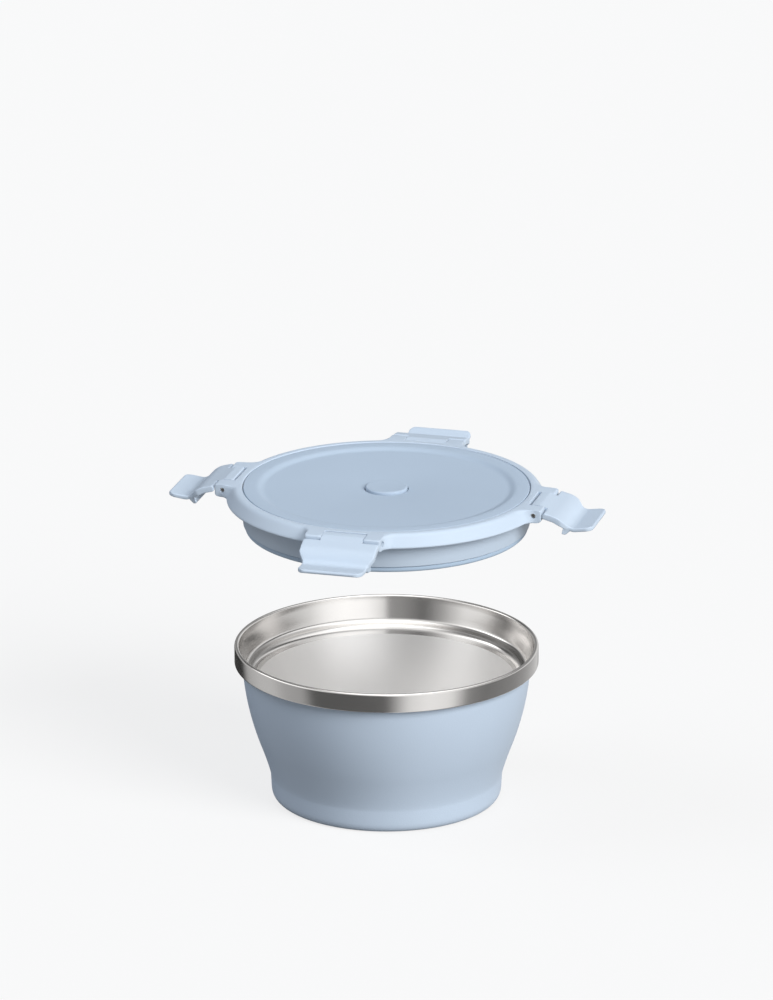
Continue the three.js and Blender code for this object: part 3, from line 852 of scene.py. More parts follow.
def plastic_finish(finish):
    """Lid plastic: the fine spark texture of a mould."""
    return moulded(
        "moulded_plastic",
        finish.plastic,
        size=0.35 * MM,
        depth=0.02 * MM,
        drift=0.04,
        roughness=(0.36, 0.46),
    )


def textured_painted_shade_finish(finish):
    """Top of the lid: the same plastic with a coarser, duller grain, drawn darker as painted shade on
    the upward-facing top.
    """
    return moulded(
        "textured_plastic",
        finish.texture,
        size=0.5 * MM,
        depth=0.03 * MM,
        drift=0.04,
        roughness=(0.55, 0.65),
        Specular_IOR_Level=0.2,
    )


def silicone_finish(finish):
    """Silicone: dull and a little waxy."""
    return moulded(
        "soft_silicone",
        finish.silicone,
        size=0.5 * MM,
        depth=0.02 * MM,
        drift=0.06,
        roughness=(0.5, 0.62),
    )


def getter_finish(finish):
    """Getter alloy: pressed metal powder."""
    return moulded(
        "pressed_getter",
        finish.getter,
        size=0.4 * MM,
        depth=0.08 * MM,
        drift=0.2,
        roughness=(0.6, 0.8),
        Metallic=1.0,
    )


def glass_finish(finish):
    """Sealing glass: a dark glossy bead."""
    return moulded(
        "glass_bead",
        finish.glass,
        size=2.0 * MM,
        depth=0.05 * MM,
        drift=0.3,
        roughness=(0.1, 0.2),
    )


def wire_finish(finish):
    """Spring steel: drawn wire."""
    name = "drawn_wire"
    if name in bpy.data.materials:
        return bpy.data.materials[name]
    return turned_metal(name, finish.wire, size=0.15 * MM, roughness=(0.25, 0.35)).material


def steel_finish(bowl, finish):
    """Bare steel: polished at the rim and the mouth, blasted to a pale satin below the ledge. The
    satin's whiter colour is partly its own paleness and partly painted light that brightens the inside
    of the bowl.
    """
    name = "belted_steel"
    if name in bpy.data.materials:
        return bpy.data.materials[name]
    steel = turned_metal(name, finish.steel, size=0.25 * MM, roughness=(0.14, 0.2))
    tree = steel.tree
    height = add(tree, "ShaderNodeSeparateXYZ", {"Vector": steel.spot}).outputs["Z"]
    satin_top = bowl.height - bowl.ledge_depth - bowl.polish_depth
    fade = bowl.polish_fade / 2
    satin = calculate(tree, "SUBTRACT", 1.0, between(tree, height, satin_top - fade, satin_top + fade))
    rougher = calculate(tree, "MULTIPLY", satin, finish.satin_roughness)
    # Whiter satin: partly the blasted steel's own paleness, partly painted light inside the bowl
    paler_with_painted_light = calculate(tree, "MULTIPLY", satin, finish.satin_paleness_and_painted_light)
    steel.link(calculate(tree, "ADD", steel.roughness, rougher), "Roughness")
    steel.link(blended(tree, paler_with_painted_light, steel.tone, WHITE), "Base Color")
    return steel.material


# Steel bowl

def mouth_radius(bowl, depth):
    """Inside radius of the mouth at a depth below the rim."""
    return bowl.rim_radius - bowl.lip - bowl.mouth_taper * (depth - bowl.lip / 2)


def neck_radius(bowl, depth):
    """Outside radius of the shell where it runs beside the mouth, square to the leaning wall."""
    gap = 2 * bowl.sheet + bowl.seam
    return mouth_radius(bowl, depth) + gap * math.hypot(1, bowl.mouth_taper)


def liner_profile(bowl):
    """Band, folded rim, mouth, ledge and the inside of the bowl."""
    rim = bowl.rim_radius
    top = bowl.height
    band_bottom = top - bowl.band_height
    lip = bowl.lip / 2
    ledge = top - bowl.ledge_depth
    mouth_end = mouth_radius(bowl, bowl.ledge_depth)
    nose = mouth_end - bowl.ledge_width
    wall = nose - bowl.ledge_nose
    waist = bowl.foot_radius + bowl.waist_flare - bowl.vacuum_space - 2 * bowl.sheet
    waist_height = bowl.waist_height
    floor = bowl.floor_height
    lean = (wall - waist) / (ledge - waist_height)
    floor_corner = waist - lean * (waist_height - floor)
    face = Profile(neck_radius(bowl, bowl.band_height - bowl.sheet) + bowl.seam, band_bottom)
    face.line(rim - bowl.band_corner, band_bottom)
    face.curve(rim, band_bottom, rim, band_bottom + bowl.band_corner, 8)
    face.line(rim, top - lip)
    face.arc(rim - lip, top - lip, lip, 0, 180, 16)
    face.line(mouth_radius(bowl, bowl.ledge_depth - bowl.ledge_corner), ledge + bowl.ledge_corner, 4)
    face.curve(mouth_end, ledge, mouth_end - bowl.ledge_corner, ledge, 8)
    face.line(nose, ledge, 2)
    face.curve(wall, ledge, wall - lean * bowl.ledge_nose, ledge - bowl.ledge_nose, 10)
    face.line(waist, waist_height, 20)
    face.curve(floor_corner, floor, waist / 2, floor, 28)
    face.line(0, floor, 6)
    return sheet_outline(face.points, bowl.sheet)


def shell_profile(bowl):
    """Recessed bottom, foot, waist and belly, tucked up behind the band."""
    foot = bowl.foot_radius
    waist = foot + bowl.waist_flare
    waist_height = bowl.waist_height
    neck_height = bowl.height - bowl.ledge_depth
    neck = neck_radius(bowl, bowl.ledge_depth)
    inside = foot - bowl.foot_corner - bowl.foot_ring
    sole = foot - bowl.foot_lean * bowl.foot_height
    # A steeper flare keeps to the foot's lean for longer
    flare_rise = (waist_height - bowl.foot_height) / bowl.waist_flare * MM
    flare = Vector((foot + bowl.foot_lean * flare_rise, bowl.foot_height + flare_rise))
    belly = Vector(((waist + neck) / 2 + bowl.belly_bulge, (waist_height + neck_height) / 2))
    tuck_height = bowl.height - bowl.band_height + bowl.shell_tuck
    face = Profile(bowl.bore, bowl.base_recess)
    face.line(inside, bowl.base_recess, 6)
    face.line(inside, 0)
    face.line(foot - bowl.foot_corner, 0)
    face.curve(sole, 0, (sole + foot) / 2, bowl.foot_corner, 16)
    face.line(foot, bowl.foot_height, 4)
    face.curve(*flare, waist, waist_height, 20)
    face.curve(*belly, neck, neck_height, 32)
    face.line(neck_radius(bowl, bowl.band_height - bowl.shell_tuck), tuck_height, 4)
    return sheet_outline(face.points, bowl.sheet)


class LUNCHBOWL_OT_liner(bpy.types.Operator):
    """Make the bare steel liner with its band, rim and ledge"""

    bl_idname = "lunch_bowl.liner"
    bl_label = "Steel Liner"

    def execute(self, context):
        settings = context.scene.lunch_bowl
        steel = steel_finish(settings.bowl, settings.finish)
        piece = turned("steel_liner", liner_profile(settings.bowl), steel, settings.bowl.steps)
        place(piece, "bowl", "bare_steel", "inner_liner")
        return {"FINISHED"}


class LUNCHBOWL_OT_shell(bpy.types.Operator):
    """Make the coated outer shell and the cover under its foot"""

    bl_idname = "lunch_bowl.shell"
    bl_label = "Coated Shell"

    def execute(self, context):
        settings = context.scene.lunch_bowl
        bowl = settings.bowl
        coat = coat_finish(settings.finish)
        shell = turned("coated_shell", shell_profile(bowl), coat, bowl.steps)
        place(shell, "bowl", "powder_coat", "outer_shell")
        cover = disc("foot_cover", "base_cover", bowl.seam, coat, bowl.steps)
        place(cover, "bowl", "powder_coat", "base_cover")
        return {"FINISHED"}


class LUNCHBOWL_OT_vacuum(bpy.types.Operator):
    """Make the getter puck and the bead that closes the vacuum space"""

    bl_idname = "lunch_bowl.vacuum"
    bl_label = "Vacuum Parts"

    def execute(self, context):
        settings = context.scene.lunch_bowl
        edge = settings.bowl.seam
        steps = settings.bowl.steps // 3
        bead = disc("sealing_bead", "vacuum_seal_plug", edge, glass_finish(settings.finish), steps)
        place(bead, "bowl", "sealing_glass", "vacuum_seal_plug")
        puck = disc("getter_puck", "getter_disc", edge, getter_finish(settings.finish), steps)
        place(puck, "bowl", "getter_alloy", "getter_disc")
        return {"FINISHED"}


# Lid

def along(radius, sideways):
    """How far along a latch's middle line a circle is met, a distance sideways of that line."""
    return math.sqrt(radius * radius - sideways * sideways)


class LidShape:
    """Upright sections of the lid. Each is a loop of points at one place round the lid's axis.

    The edges of ring, ear and notch have equally many points, so that sections can be joined.
    """

    def __init__(self, lid, latch):
        self.lid = lid
        self.latch = latch
        self.ring = PIN.x
        self.underside = PIN.z - lid.pin_height
        self.recess = self.ring - lid.ring_land
        self.shoulder = (self.recess + self.ring - latch.notch_depth) / 2
        self.inside = self.inside_points()

    def inside_points(self):
        """The part of the section that is the same all round, from the ring's underside to its top."""
        lid = self.lid
        shelf = lid.skirt_radius - lid.wall
        well = lid.groove_radius - lid.wall
        web = lid.wall - lid.groove_depth
        floor = lid.wall - lid.floor_depth
        edge = lid.recess_edge
        corners = [
            (self.shoulder, 0, 0),
            (lid.skirt_top, 0, lid.skirt_root),
            (lid.skirt_radius, -lid.groove_depth, edge),
            (lid.groove_radius, -lid.groove_depth, 0),
            (lid.groove_radius, -lid.groove_shelf, 0),
            (lid.floor_radius, -lid.groove_shelf, 0),
            (lid.floor_radius, -lid.floor_depth, 0),
            (lid.vent_radius, -lid.floor_depth, edge),
            (lid.vent_radius, lid.vent_rise - lid.floor_depth, edge),
            (lid.stem_bore, lid.vent_rise - lid.floor_depth, 0),
            (lid.stem_bore, lid.vent_rise + floor, 0),
            (lid.vent_radius + lid.wall, lid.vent_rise + floor, 0),
            (lid.vent_radius + lid.wall, floor, 0),
            (well, floor, 0),
            (well, web, 0),
            (shelf, web, 0),
            (shelf, lid.plate_shelf, 0),
            (self.recess, lid.plate_shelf, 0),
            (self.recess, lid.ring_height, edge),
            (self.shoulder, lid.ring_height, 0),
        ]
        return rounded(corners, 4, closed=False)[1:-1]

    def ring_edge(self):
        """The ring's own edge, from its top out and down to its underside."""
        lid = self.lid
        ring = self.ring
        top = lid.ring_height
        corner = Vector((ring - lid.ring_lean, top))
        soft = lid.ring_rounding
        below = corner + (Vector((ring, lid.ring_foot)) - corner).normalized() * soft
        edge = Profile(self.shoulder, top)
        edge.line(corner.x - soft, top, 3)
        edge.curve(*corner, *below, 7)
        edge.line(ring, lid.ring_foot, 6)
        edge.curve(ring, 0, ring - lid.ring_foot, 0, 8)
        edge.line(self.shoulder, 0, 3)
        return edge.points

    def ear_edge(self, start, shrink):
        """The edge at an ear, which goes out round the hinge pin. Near its sides the ear shrinks."""
        lid = self.lid
        pin = self.ring
        nose = pin + self.latch.ear_nose - shrink
        top = lid.pin_height + self.latch.ear_top - shrink
        back = pin - self.latch.notch_depth - self.latch.notch_edge
        soft = self.latch.ear_rounding
        below = lid.pin_height - self.latch.ear_nose / 2
        edge = Profile(start, lid.ring_height)
        edge.line(back, lid.ring_height, 3)
        edge.line(nose - soft, top, 3)
        edge.curve(nose, top, nose, top - soft, 7)
        edge.line(nose, below, 3)
        edge.curve(nose, shrink, pin + soft, shrink, 7)
        edge.line(back, 0)
        edge.line(start, 0, 3)
        return edge.points

    def notch_edge(self, start):
        """The edge at the back of a notch."""
        top = self.lid.ring_height
        back = self.ring - self.latch.notch_depth
        round_edge = self.latch.notch_edge
        edge = Profile(start, top)
        edge.line(back - round_edge, top, 3)
        edge.curve(back, top, back, top - round_edge, 10)
        edge.line(back, round_edge, 3)
        edge.curve(back, 0, back - round_edge, 0, 8)
        edge.line(start, 0, 3)
        return edge.points

    def nose(self, sideways):
        """How far an ear stands out from the ring."""
        return self.ring + self.latch.ear_nose - along(self.ring, sideways)

    def beside(self, sideways, kind, amount):
        """A section beside a latch's middle line, of the ring, an ear or a notch."""
        start = along(self.shoulder, sideways)
        if kind == "notch":
            edge = self.notch_edge(start)
        elif kind == "ear":
            edge = self.ear_edge(start, amount)
        else:
            plain = [Vector((along(point.x, sideways), point.y)) for point in self.ring_edge()]
            share = amount / self.nose(sideways)
            edge = [a.lerp(b, share) for a, b in zip(plain, self.ear_edge(start, 0.0))]
        turn = math.asin(sideways / self.shoulder)
        loop = [self.spot(point.x, sideways, point.y) for point in edge]
        return loop + self.at_turn(self.inside, turn)

    def at_turn(self, points, turn):
        """Points of a section, at a turn from a latch's middle line."""
        out = math.cos(turn)
        across = math.sin(turn)
        return [self.spot(point.x * out, point.x * across, point.y) for point in points]

    def spot(self, x, y, height):
        """A point on the lid, from its height above the ring's underside."""
        return Vector((x, y, self.underside + height))

    def half_side(self):
        """Sections from a latch's middle line to the corner between two latches."""
        latch = self.latch
        notch = latch.notch_width / 2
        outer = latch.width / 2
        corner = latch.ear_corner
        fillet = latch.ear_fillet
        steps = 4
        corner_steps = 5
        fillet_steps = 8
        plain_steps = 22
        loops = [self.beside(notch * step / steps, "notch", 0.0) for step in range(steps + 1)]
        for step in range(steps + 1):
            turn = math.pi / 2 * step / steps
            shrink = latch.ear_edge * (1 - math.sin(turn))
            loops.append(self.beside(notch + latch.ear_edge * (1 - math.cos(turn)), "ear", shrink))
        first = notch + latch.ear_edge
        last = outer - corner
        for step in range(1, steps + 1):
            loops.append(self.beside(first + (last - first) * step / steps, "ear", 0.0))
        for step in range(1, corner_steps + 1):
            turn = math.pi / 2 * step / corner_steps
            sideways = last + corner * math.sin(turn)
            amount = self.nose(sideways) - corner * (1 - math.cos(turn))
            loops.append(self.beside(sideways, "side", amount))
        for step in range(fillet_steps + 1):
            turn = math.pi / 2 * step / fillet_steps
            amount = fillet * (1 - math.sin(turn))
            loops.append(self.beside(outer + fillet * (1 - math.cos(turn)), "side", amount))
        first_turn = math.asin((outer + fillet) / self.shoulder)
        last_turn = math.pi / len(SIDES)
        ring = self.ring_edge() + self.inside
        for step in range(1, plain_steps + 1):
            loops.append(self.at_turn(ring, first_turn + (last_turn - first_turn) * step / plain_steps))
        return loops

    def loops(self):
        """All sections, in order round the lid."""
        half = self.half_side()
        # The side before this one ends with the section that the first one here would repeat
        side = mirrored(half)[1:] + half
        result = []
        for degrees in SIDES.values():
            turn = Matrix.Rotation(math.radians(degrees), 3, "Z")
            result += [[turn @ point for point in loop] for loop in side]
        return result


def at_hinge(degrees):
    """The place of the hinge at one side of the lid."""
    return Matrix.Rotation(math.radians(degrees), 4, "Z") @ Matrix.Translation(PIN)


class LUNCHBOWL_OT_lid(bpy.types.Operator):
    """Make the lid's body with its ring, hinge ears, skirt and floor"""

    bl_idname = "lunch_bowl.lid"
    bl_label = "Lid Body"

    def execute(self, context):
        settings = context.scene.lunch_bowl
        latch = settings.latch
        piece = lofted("lid_shell", LidShape(settings.lid, latch).loops())
        reach = latch.width + 4 * latch.ear_fillet
        places = [at_hinge(degrees) @ CROSSWISE for degrees in SIDES.values()]
        combined(piece, bars(latch.pin_bore, reach, places), "DIFFERENCE")
        give(piece, plastic_finish(settings.finish))
        place(piece, "lid", "lid_plastic", "lid_body")
        return {"FINISHED"}


class LUNCHBOWL_OT_plate(bpy.types.Operator):
    """Make the top plate with its recessed field"""

    bl_idname = "lunch_bowl.plate"
    bl_label = "Top Plate"

    def execute(self, context):
        settings = context.scene.lunch_bowl
        lid = settings.lid
        radius = PLATE_HIGH.x - lid.plate_gap
        top = PLATE_HIGH.z
        field = top - lid.plate_recess
        thickness = lid.plate_thickness
        inner = radius - lid.plate_border
        foot = inner - lid.plate_slope
        edge = lid.recess_edge
        soft = lid.plate_softness
        corners = [
            (lid.plate_hole, field - thickness, 0),
            (foot, field - thickness, soft),
            (inner, top - thickness, soft),
            (radius, top - thickness, edge),
            (radius, top, edge),
            (inner, top, soft),
            (foot, field, soft),
            (lid.plate_hole, field, edge),
        ]
        # The plate's darker plastic is painted shade on the lid's top
        piece = turned("lid_plate", rounded(corners, 6), textured_painted_shade_finish(settings.finish), lid.steps)
        place(piece, "lid", "lid_plastic", "top_plate")
        return {"FINISHED"}


class LUNCHBOWL_OT_seals(bpy.types.Operator):
    """Make the soft ring round the lid and the soft disc under its vent"""

    bl_idname = "lunch_bowl.seals"
    bl_label = "Seals"

    def execute(self, context):
        settings = context.scene.lunch_bowl
        lid = settings.lid
        silicone = silicone_finish(settings.finish)
        low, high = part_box("lid_seal")
        outer = high.x
        inner = outer - lid.seal_lip
        tongue = inner - lid.seal_tongue
        step = high.z - lid.seal_tongue_height
        edge = lid.recess_edge
        ring = [
            (inner, low.z, edge),
            (outer, low.z, lid.seal_rounding),
            (outer, high.z, edge),
            (tongue, high.z, 0),
            (tongue, step, 0),
            (inner, step, 0),
        ]
        gasket = turned("lid_gasket", rounded(ring, 5), silicone, lid.steps)
        place(gasket, "lid", "silicone", "lid_seal")

        low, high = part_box("vent_seal")
        stem_low, stem_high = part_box("vent_stem")
        gap = settings.bowl.seam
        socket = stem_high.x + gap
        socket_floor = stem_low.z - gap
        slope = (high.z - low.z) / 2
        washer = [
            (0, low.z, 0),
            (high.x - slope, low.z, edge),
            (high.x, high.z, edge / 2),
            (socket, high.z, 0),
            (socket, socket_floor, 0),
            (0, socket_floor, 0),
        ]
        piece = turned("vent_washer", rounded(washer), silicone, lid.steps // 2)
        place(piece, "vent", "silicone", "vent_seal")
        return {"FINISHED"}


class LUNCHBOWL_OT_vent(bpy.types.Operator):
    """Make the vent's push button and its stem"""

    bl_idname = "lunch_bowl.vent"
    bl_label = "Vent Button"

    def execute(self, context):
        settings = context.scene.lunch_bowl
        lid = settings.lid
        # The button and stem take the top's darker plastic, which is painted shade
        plastic = textured_painted_shade_finish(settings.finish)
        low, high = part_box("vent_button")
        gap = settings.bowl.seam
        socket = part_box("vent_stem")[1].x + gap
        flange = high.x
        radius = flange - lid.button_flange
        step = low.z + lid.flange_thickness
        edge = lid.button_edge
        corners = [
            (0, low.z + lid.stem_socket, 0),
            (socket, low.z + lid.stem_socket, 0),
            (socket, low.z, 0),
            (flange, low.z, gap),
            (flange, step, gap),
            (radius, step, 0),
            (radius, high.z, edge),
        ]
        rim = Profile(radius - 2 * edge, high.z)
        rim.curve(radius / 2, high.z - lid.button_dish, 0, high.z - lid.button_dish, 12)
        outline = rounded(corners + [(rim.points[0].x, high.z, 0)], 6, closed=False) + rim.points[1:]
        button = turned("vent_cap", outline, plastic, lid.steps // 2)
        place(button, "vent", "lid_plastic", "vent_button")
        stem = disc("vent_rod", "vent_stem", gap, plastic, lid.steps // 3)
        place(stem, "vent", "lid_plastic", "vent_stem")
        return {"FINISHED"}


class LUNCHBOWL_OT_spring(bpy.types.Operator):
    """Wind the spring that brings the vent's button back up"""

    bl_idname = "lunch_bowl.spring"
    bl_label = "Vent Spring"

    wire: length("Wire", "Thickness of the wire", 0.9 * MM)
    turns: ratio("Turns", "Turns of the spring", 5)

    def execute(self, context):
        settings = context.scene.lunch_bowl
        low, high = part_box("vent_spring")
        room = high.z - low.z
        piece = new_object("vent_coil", [])
        values = {
            "Wire Radius": self.wire / 2,
            "Coil Radius": (high.x - low.x - self.wire) / 2,
            "Turns": self.turns,
            "Bottom": low.z + self.wire / 2,
            "Height": room - self.wire,
            "Material": wire_finish(settings.finish),
        }
        settle(run_nodes(piece, spring_tree(), values))
        place(piece, "lid", "spring_steel", "vent_spring")
        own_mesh(piece)
        return {"FINISHED"}


class LUNCHBOWL_OT_pins(bpy.types.Operator):
    """Make the hinge pins"""

    bl_idname = "lunch_bowl.pins"
    bl_label = "Hinge Pins"

    def execute(self, context):
        settings = context.scene.lunch_bowl
        low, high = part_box("hinge_pin_right")
        radius = (high.z - low.z) / 2
        half = (high.y - low.y) / 2
        edge = settings.bowl.seam
        wire = wire_finish(settings.finish)
        corners = [(0, -half, 0), (radius, -half, edge), (radius, half, edge), (0, half, 0)]
        piece = turned("hinge_pins", rounded(corners), wire, settings.lid.steps // 6)
        values = {"Sides": len(SIDES), "Radius": PIN.x, "Height": PIN.z, "Material": wire}
        settle(run_nodes(piece, sides_tree(), values))
        place(piece, "lid", "spring_steel", *[f"hinge_pin_{side}" for side in SIDES])
        return {"FINISHED"}


# Latches

class LatchShape:
    """Sections of one shut latch across its width, out and up from its pin."""

    def __init__(self, latch):
        self.latch = latch
        self.wing_top = -latch.ear_nose - latch.wing_gap
        self.root = self.wing_top - 2 * latch.side_rounding
        self.hook_top = -latch.hook_drop
        self.elbow = self.hook_top + latch.elbow
        self.crease = Vector((latch.thickness - latch.band_face, self.hook_top - latch.crease_drop))
        self.out = Vector((math.sin(latch.tab_tilt), -math.cos(latch.tab_tilt)))
        self.tip = self.crease + self.out * latch.tab_length
        self.face_points = 64
        self.tip_steps = 8
        self.top_points = 45
        self.face = self.outer_face()

    def outer_face(self):
        """The outer face, from its root over the elbow and the crease to the tab's rounded tip."""
        latch = self.latch
        end = self.tip - self.out * latch.tab_thickness / 2
        corners = [
            (latch.stand, self.root, 0),
            (latch.stand, self.elbow, latch.elbow_rounding),
            (*self.crease, latch.crease_rounding),
            (*end, 0),
        ]
        return resampled(rounded(corners, 8, closed=False), self.face_points)

    def past_elbow(self, point):
        """0 above the elbow, 1 below the crease."""
        return min(max((self.elbow - point.y) / (self.elbow - self.crease.y), 0.0), 1.0)

    def plate(self, rib):
        """Down the outer face, round the tab's tip and up the inner face."""
        latch = self.latch
        face = self.face
        last = len(face) - 1
        inner = []
        for i, point in enumerate(face):
            outwards = left_of(face[max(i - 1, 0)], face[min(i + 1, last)])
            share = self.past_elbow(point)
            depth = (latch.thickness + rib) * (1 - share) + latch.tab_thickness * share
            inner.append(point - outwards * depth)
        centre = (face[-1] + inner[-1]) / 2
        across = face[-1] - centre
        tip = []
        for step in range(1, self.tip_steps):
            turn = math.pi * step / self.tip_steps
            tip.append(centre + across * math.cos(turn) + self.out * across.length * math.sin(turn))
        return face + tip + inner[::-1]

    def wing(self, rib):
        """The rounded top edge of the wide part, from the inner face to the outer one."""
        half = (self.latch.thickness + rib) / 2
        middle = self.latch.stand - half
        rise = self.wing_top - self.root
        points = []
        for step in range(self.top_points):
            turn = math.pi * step / (self.top_points - 1)
            points.append(Vector((middle - half * math.cos(turn), self.root + rise * math.sin(turn))))
        return points

    def when_shut(self, x, y):
        """A point given in the open pose, as it lies on a shut latch."""
        return Matrix.Rotation(-self.latch.heel_level, 2) @ Vector((x, y))

    def knuckle(self):
        """The knuckle, from the inner face round the pin and its heel to the outer face."""
        latch = self.latch
        radius = latch.knuckle_radius
        inner = latch.stand - latch.thickness
        first = -math.degrees(math.acos(inner / radius))
        heel_low = -math.degrees(math.acos(-latch.knuckle_heel / radius) + latch.heel_level)
        barrel = Profile(inner, self.root)
        barrel.arc(0, 0, radius, first, heel_low, 24)
        back = self.when_shut(-latch.knuckle_heel, latch.knuckle_top)
        front = self.when_shut(latch.heel_front, latch.knuckle_top)
        heel = [
            (*barrel.points[-1], 0),
            (*back, latch.heel_rounding),
            (*front, latch.knuckle_top),
            (latch.stand, self.root, 0),
        ]
        return resampled(barrel.points + rounded(heel, 6, closed=False)[1:], self.top_points)

    def narrowing(self, point):
        """Share of the full width at a point: the finger tab is narrower and has rounded corners."""
        latch = self.latch
        half = latch.width / 2
        share = self.past_elbow(point)
        reach = half + (latch.tab_width / 2 - half) * share * share * (3 - 2 * share)
        left = max((self.tip - point).dot(self.out), 0.0)
        corner = latch.tab_corner
        if share == 1 and left < corner:
            reach -= corner - math.sqrt(corner * corner - (corner - left) ** 2)
        return reach / half

    def across(self, loop, sideways, shrink):
        """A loop at a distance sideways, drawn in where the side is rounded."""
        if shrink > 0:
            loop = inset(loop[::-1], shrink)[::-1]
        return [Vector((point.x, sideways * self.narrowing(point), point.y)) for point in loop]

    def rounded_side(self, loop, outer, steps=5):
        """Loops that round one side of the latch."""
        soft = self.latch.side_rounding
        loops = []
        for step in range(steps + 1):
            turn = math.pi / 2 * step / steps
            sideways = outer - soft + soft * math.sin(turn)
            loops.append(self.across(loop, sideways, soft * (1 - math.cos(turn))))
        return loops

    def arm_loops(self):
        """Plate with knuckle."""
        latch = self.latch
        outer = latch.width / 2
        knuckle_end = latch.knuckle_width / 2
        flat_end = outer - latch.rib_width - latch.rib / 2
        knuckled = self.plate(0.0) + self.knuckle()[1:-1]
        winged = self.plate(0.0) + self.wing(0.0)[1:-1]
        ribbed = self.plate(latch.rib) + self.wing(latch.rib)[1:-1]
        knuckle_steps = 4
        flat_steps = 3
        half = []
        for step in range(knuckle_steps + 1):
            half.append(self.across(knuckled, knuckle_end * step / knuckle_steps, 0.0))
        span = flat_end - knuckle_end
        for step in range(flat_steps + 1):
            half.append(self.across(winged, knuckle_end + span * step / flat_steps, 0.0))
        half.append(self.across(ribbed, outer - latch.rib_width, 0.0))
        half += self.rounded_side(ribbed, outer)
        return mirrored(half) + half

    def arm_caps(self):
        """End faces of the plate: rungs between its outer and its inner face."""
        total = 2 * len(self.face) + self.tip_steps - 1 + self.top_points - 2
        middle = len(self.face) + self.tip_steps // 2 - 1
        rungs = []
        for step in range(1, total // 2):
            rungs.append(((middle - step) % total, (middle + step) % total))
        faces = [(middle, *rungs[0])]
        faces += [(a, b, d, c) for (a, b), (c, d) in zip(rungs, rungs[1:])]
        faces.append((*rungs[-1], (middle + total // 2) % total))
        return faces

    def hook_loops(self):
        """Hook that takes hold under the steel band."""
        latch = self.latch
        soft = latch.heel_rounding
        inside = self.crease + self.out * latch.hook_thickness
        corners = [
            (*inside, 0),
            (-latch.hook_reach, self.hook_top - latch.hook_thickness, soft),
            (-latch.hook_reach, self.hook_top, soft),
            (self.crease.x, self.hook_top, 0),
        ]
        loop = rounded(corners, 5)
        # The hook's ends lie a little inside the latch's sides
        outer = latch.width / 2 - latch.side_rounding / 2
        half = [self.across(loop, 0.0, 0.0)] + self.rounded_side(loop, outer)
        return mirrored(half) + half


class LUNCHBOWL_OT_latches(bpy.types.Operator):
    """Make the latches, open as they are shown"""

    bl_idname = "lunch_bowl.latches"
    bl_label = "Latches"

    def execute(self, context):
        settings = context.scene.lunch_bowl
        latch = settings.latch
        shape = LatchShape(latch)
        arm = lofted("latch_arm", shape.arm_loops(), shape.arm_caps())
        hook_loops = shape.hook_loops()
        combined(arm, lofted("hook", hook_loops, [tuple(range(len(hook_loops[0])))]), "UNION")
        combined(arm, bars(latch.pin_bore, latch.width, [CROSSWISE]), "DIFFERENCE")
        give(arm, plastic_finish(settings.finish))
        for side, degrees in SIDES.items():
            shut_angle = joint(f"{side}_latch_hinge")["range_deg"][0]
            opened = Matrix.Rotation(math.radians(shut_angle), 4, "Y")
            mesh = arm.data.copy()
            mesh.transform(at_hinge(degrees) @ opened)
            piece = bpy.data.objects.new(f"latch_arm_{side}", mesh)
            context.scene.collection.objects.link(piece)
            place(piece, f"{side}_latch", "lid_plastic", f"latch_{side}")
        bpy.data.objects.remove(arm)
        return {"FINISHED"}


# Stage

# What bare metal mirrors at four heights, as (degrees to the right of the camera, brightness)
LOW_WALLS = (
    (-165, 0.05), (-140, 0.03), (-130, 0.50), (-112, 0.65), (-96, 0.66), (-82, 0.48), (-66, 0.45),
    (-57, 0.12), (-10, 0.14), (2, 0.20), (17, 0.98), (32, 1.15), (50, 1.05), (64, 0.30),
    (80, 0.22), (112, 0.31), (128, 0.42), (144, 0.58), (160, 0.74), (175, 0.20),
)
HIGH_WALLS = (
    (-165, 0.40), (-144, 0.50), (-128, 0.60), (-96, 0.75), (-80, 1.15), (-64, 1.15), (-45, 0.50),
    (-30, 0.15), (-12, 0.35), (2, 1.10), (16, 1.50), (32, 1.55), (48, 1.40), (64, 0.97),
    (80, 0.85), (110, 1.05), (150, 0.95), (165, 0.75), (180, 0.20),
)
UPPER_WALLS = (
    (-150, 0.10), (-130, 0.10), (-116, 2.80), (-96, 2.50), (-80, 2.00), (-60, 1.30), (-40, 0.60),
    (-14, 0.55), (10, 0.85), (32, 0.75), (52, 0.60), (80, 0.15), (112, 0.10), (160, 0.40),
)
TOP_WALLS = (
    (-150, 0.40), (-129, 0.25), (-103, 0.25), (-87, 0.45), (-66, 0.75), (-40, 1.20), (0, 1.60),
    (66, 1.60), (87, 1.45), (103, 1.25), (117, 1.00), (129, 0.85), (165, 0.50),
)

# Heights between which each higher wall and the ceiling take over: 0 is level, 1 is straight up
HIGHER_WALLS = ((HIGH_WALLS, -0.09, 0.09), (UPPER_WALLS, 0.28, 0.42), (TOP_WALLS, 0.52, 0.66))
CEILING_HEIGHTS = (0.85, 1.0)

# Soft suns, as (name, degrees to the right of the camera, degrees up, power, tint)
LAMPS = (
    ("key_lamp", 44, 30, 3.25, (1.0, 0.99, 0.975)),
    ("fill_lamp", -95, 45, 0.75, (0.93, 0.98, 1.06)),
)

# Tint of the even light from all round
AMBIENT_TINT = (0.95, 0.99, 1.05)


def wall_ramp(tree, turn, walls):
    """Brightness of the studio's walls by the turn from the camera, as a share of a full turn."""
    ramp = add(tree, "ShaderNodeValToRGB", {"Fac": turn})
    stops = ramp.color_ramp.elements
    stops.remove(stops[1])
    placed = sorted((degrees % 360, brightness) for degrees, brightness in walls)
    for i, (degrees, brightness) in enumerate(placed):
        stop = stops[0] if i == 0 else stops.new(degrees / 360)
        stop.position = degrees / 360
        stop.color = (brightness, brightness, brightness, 1.0)
    return ramp.outputs["Color"]


def background(tree, tint, strength=1.0):
    """Light from all round."""
    return first_of(tree, "ShaderNodeBackground", {"Color": tint, "Strength": strength})


def either(tree, share, first, second):
    """One shader that goes over into another."""
    return first_of(tree, "ShaderNodeMixShader", {0: share, 1: first, 2: second})


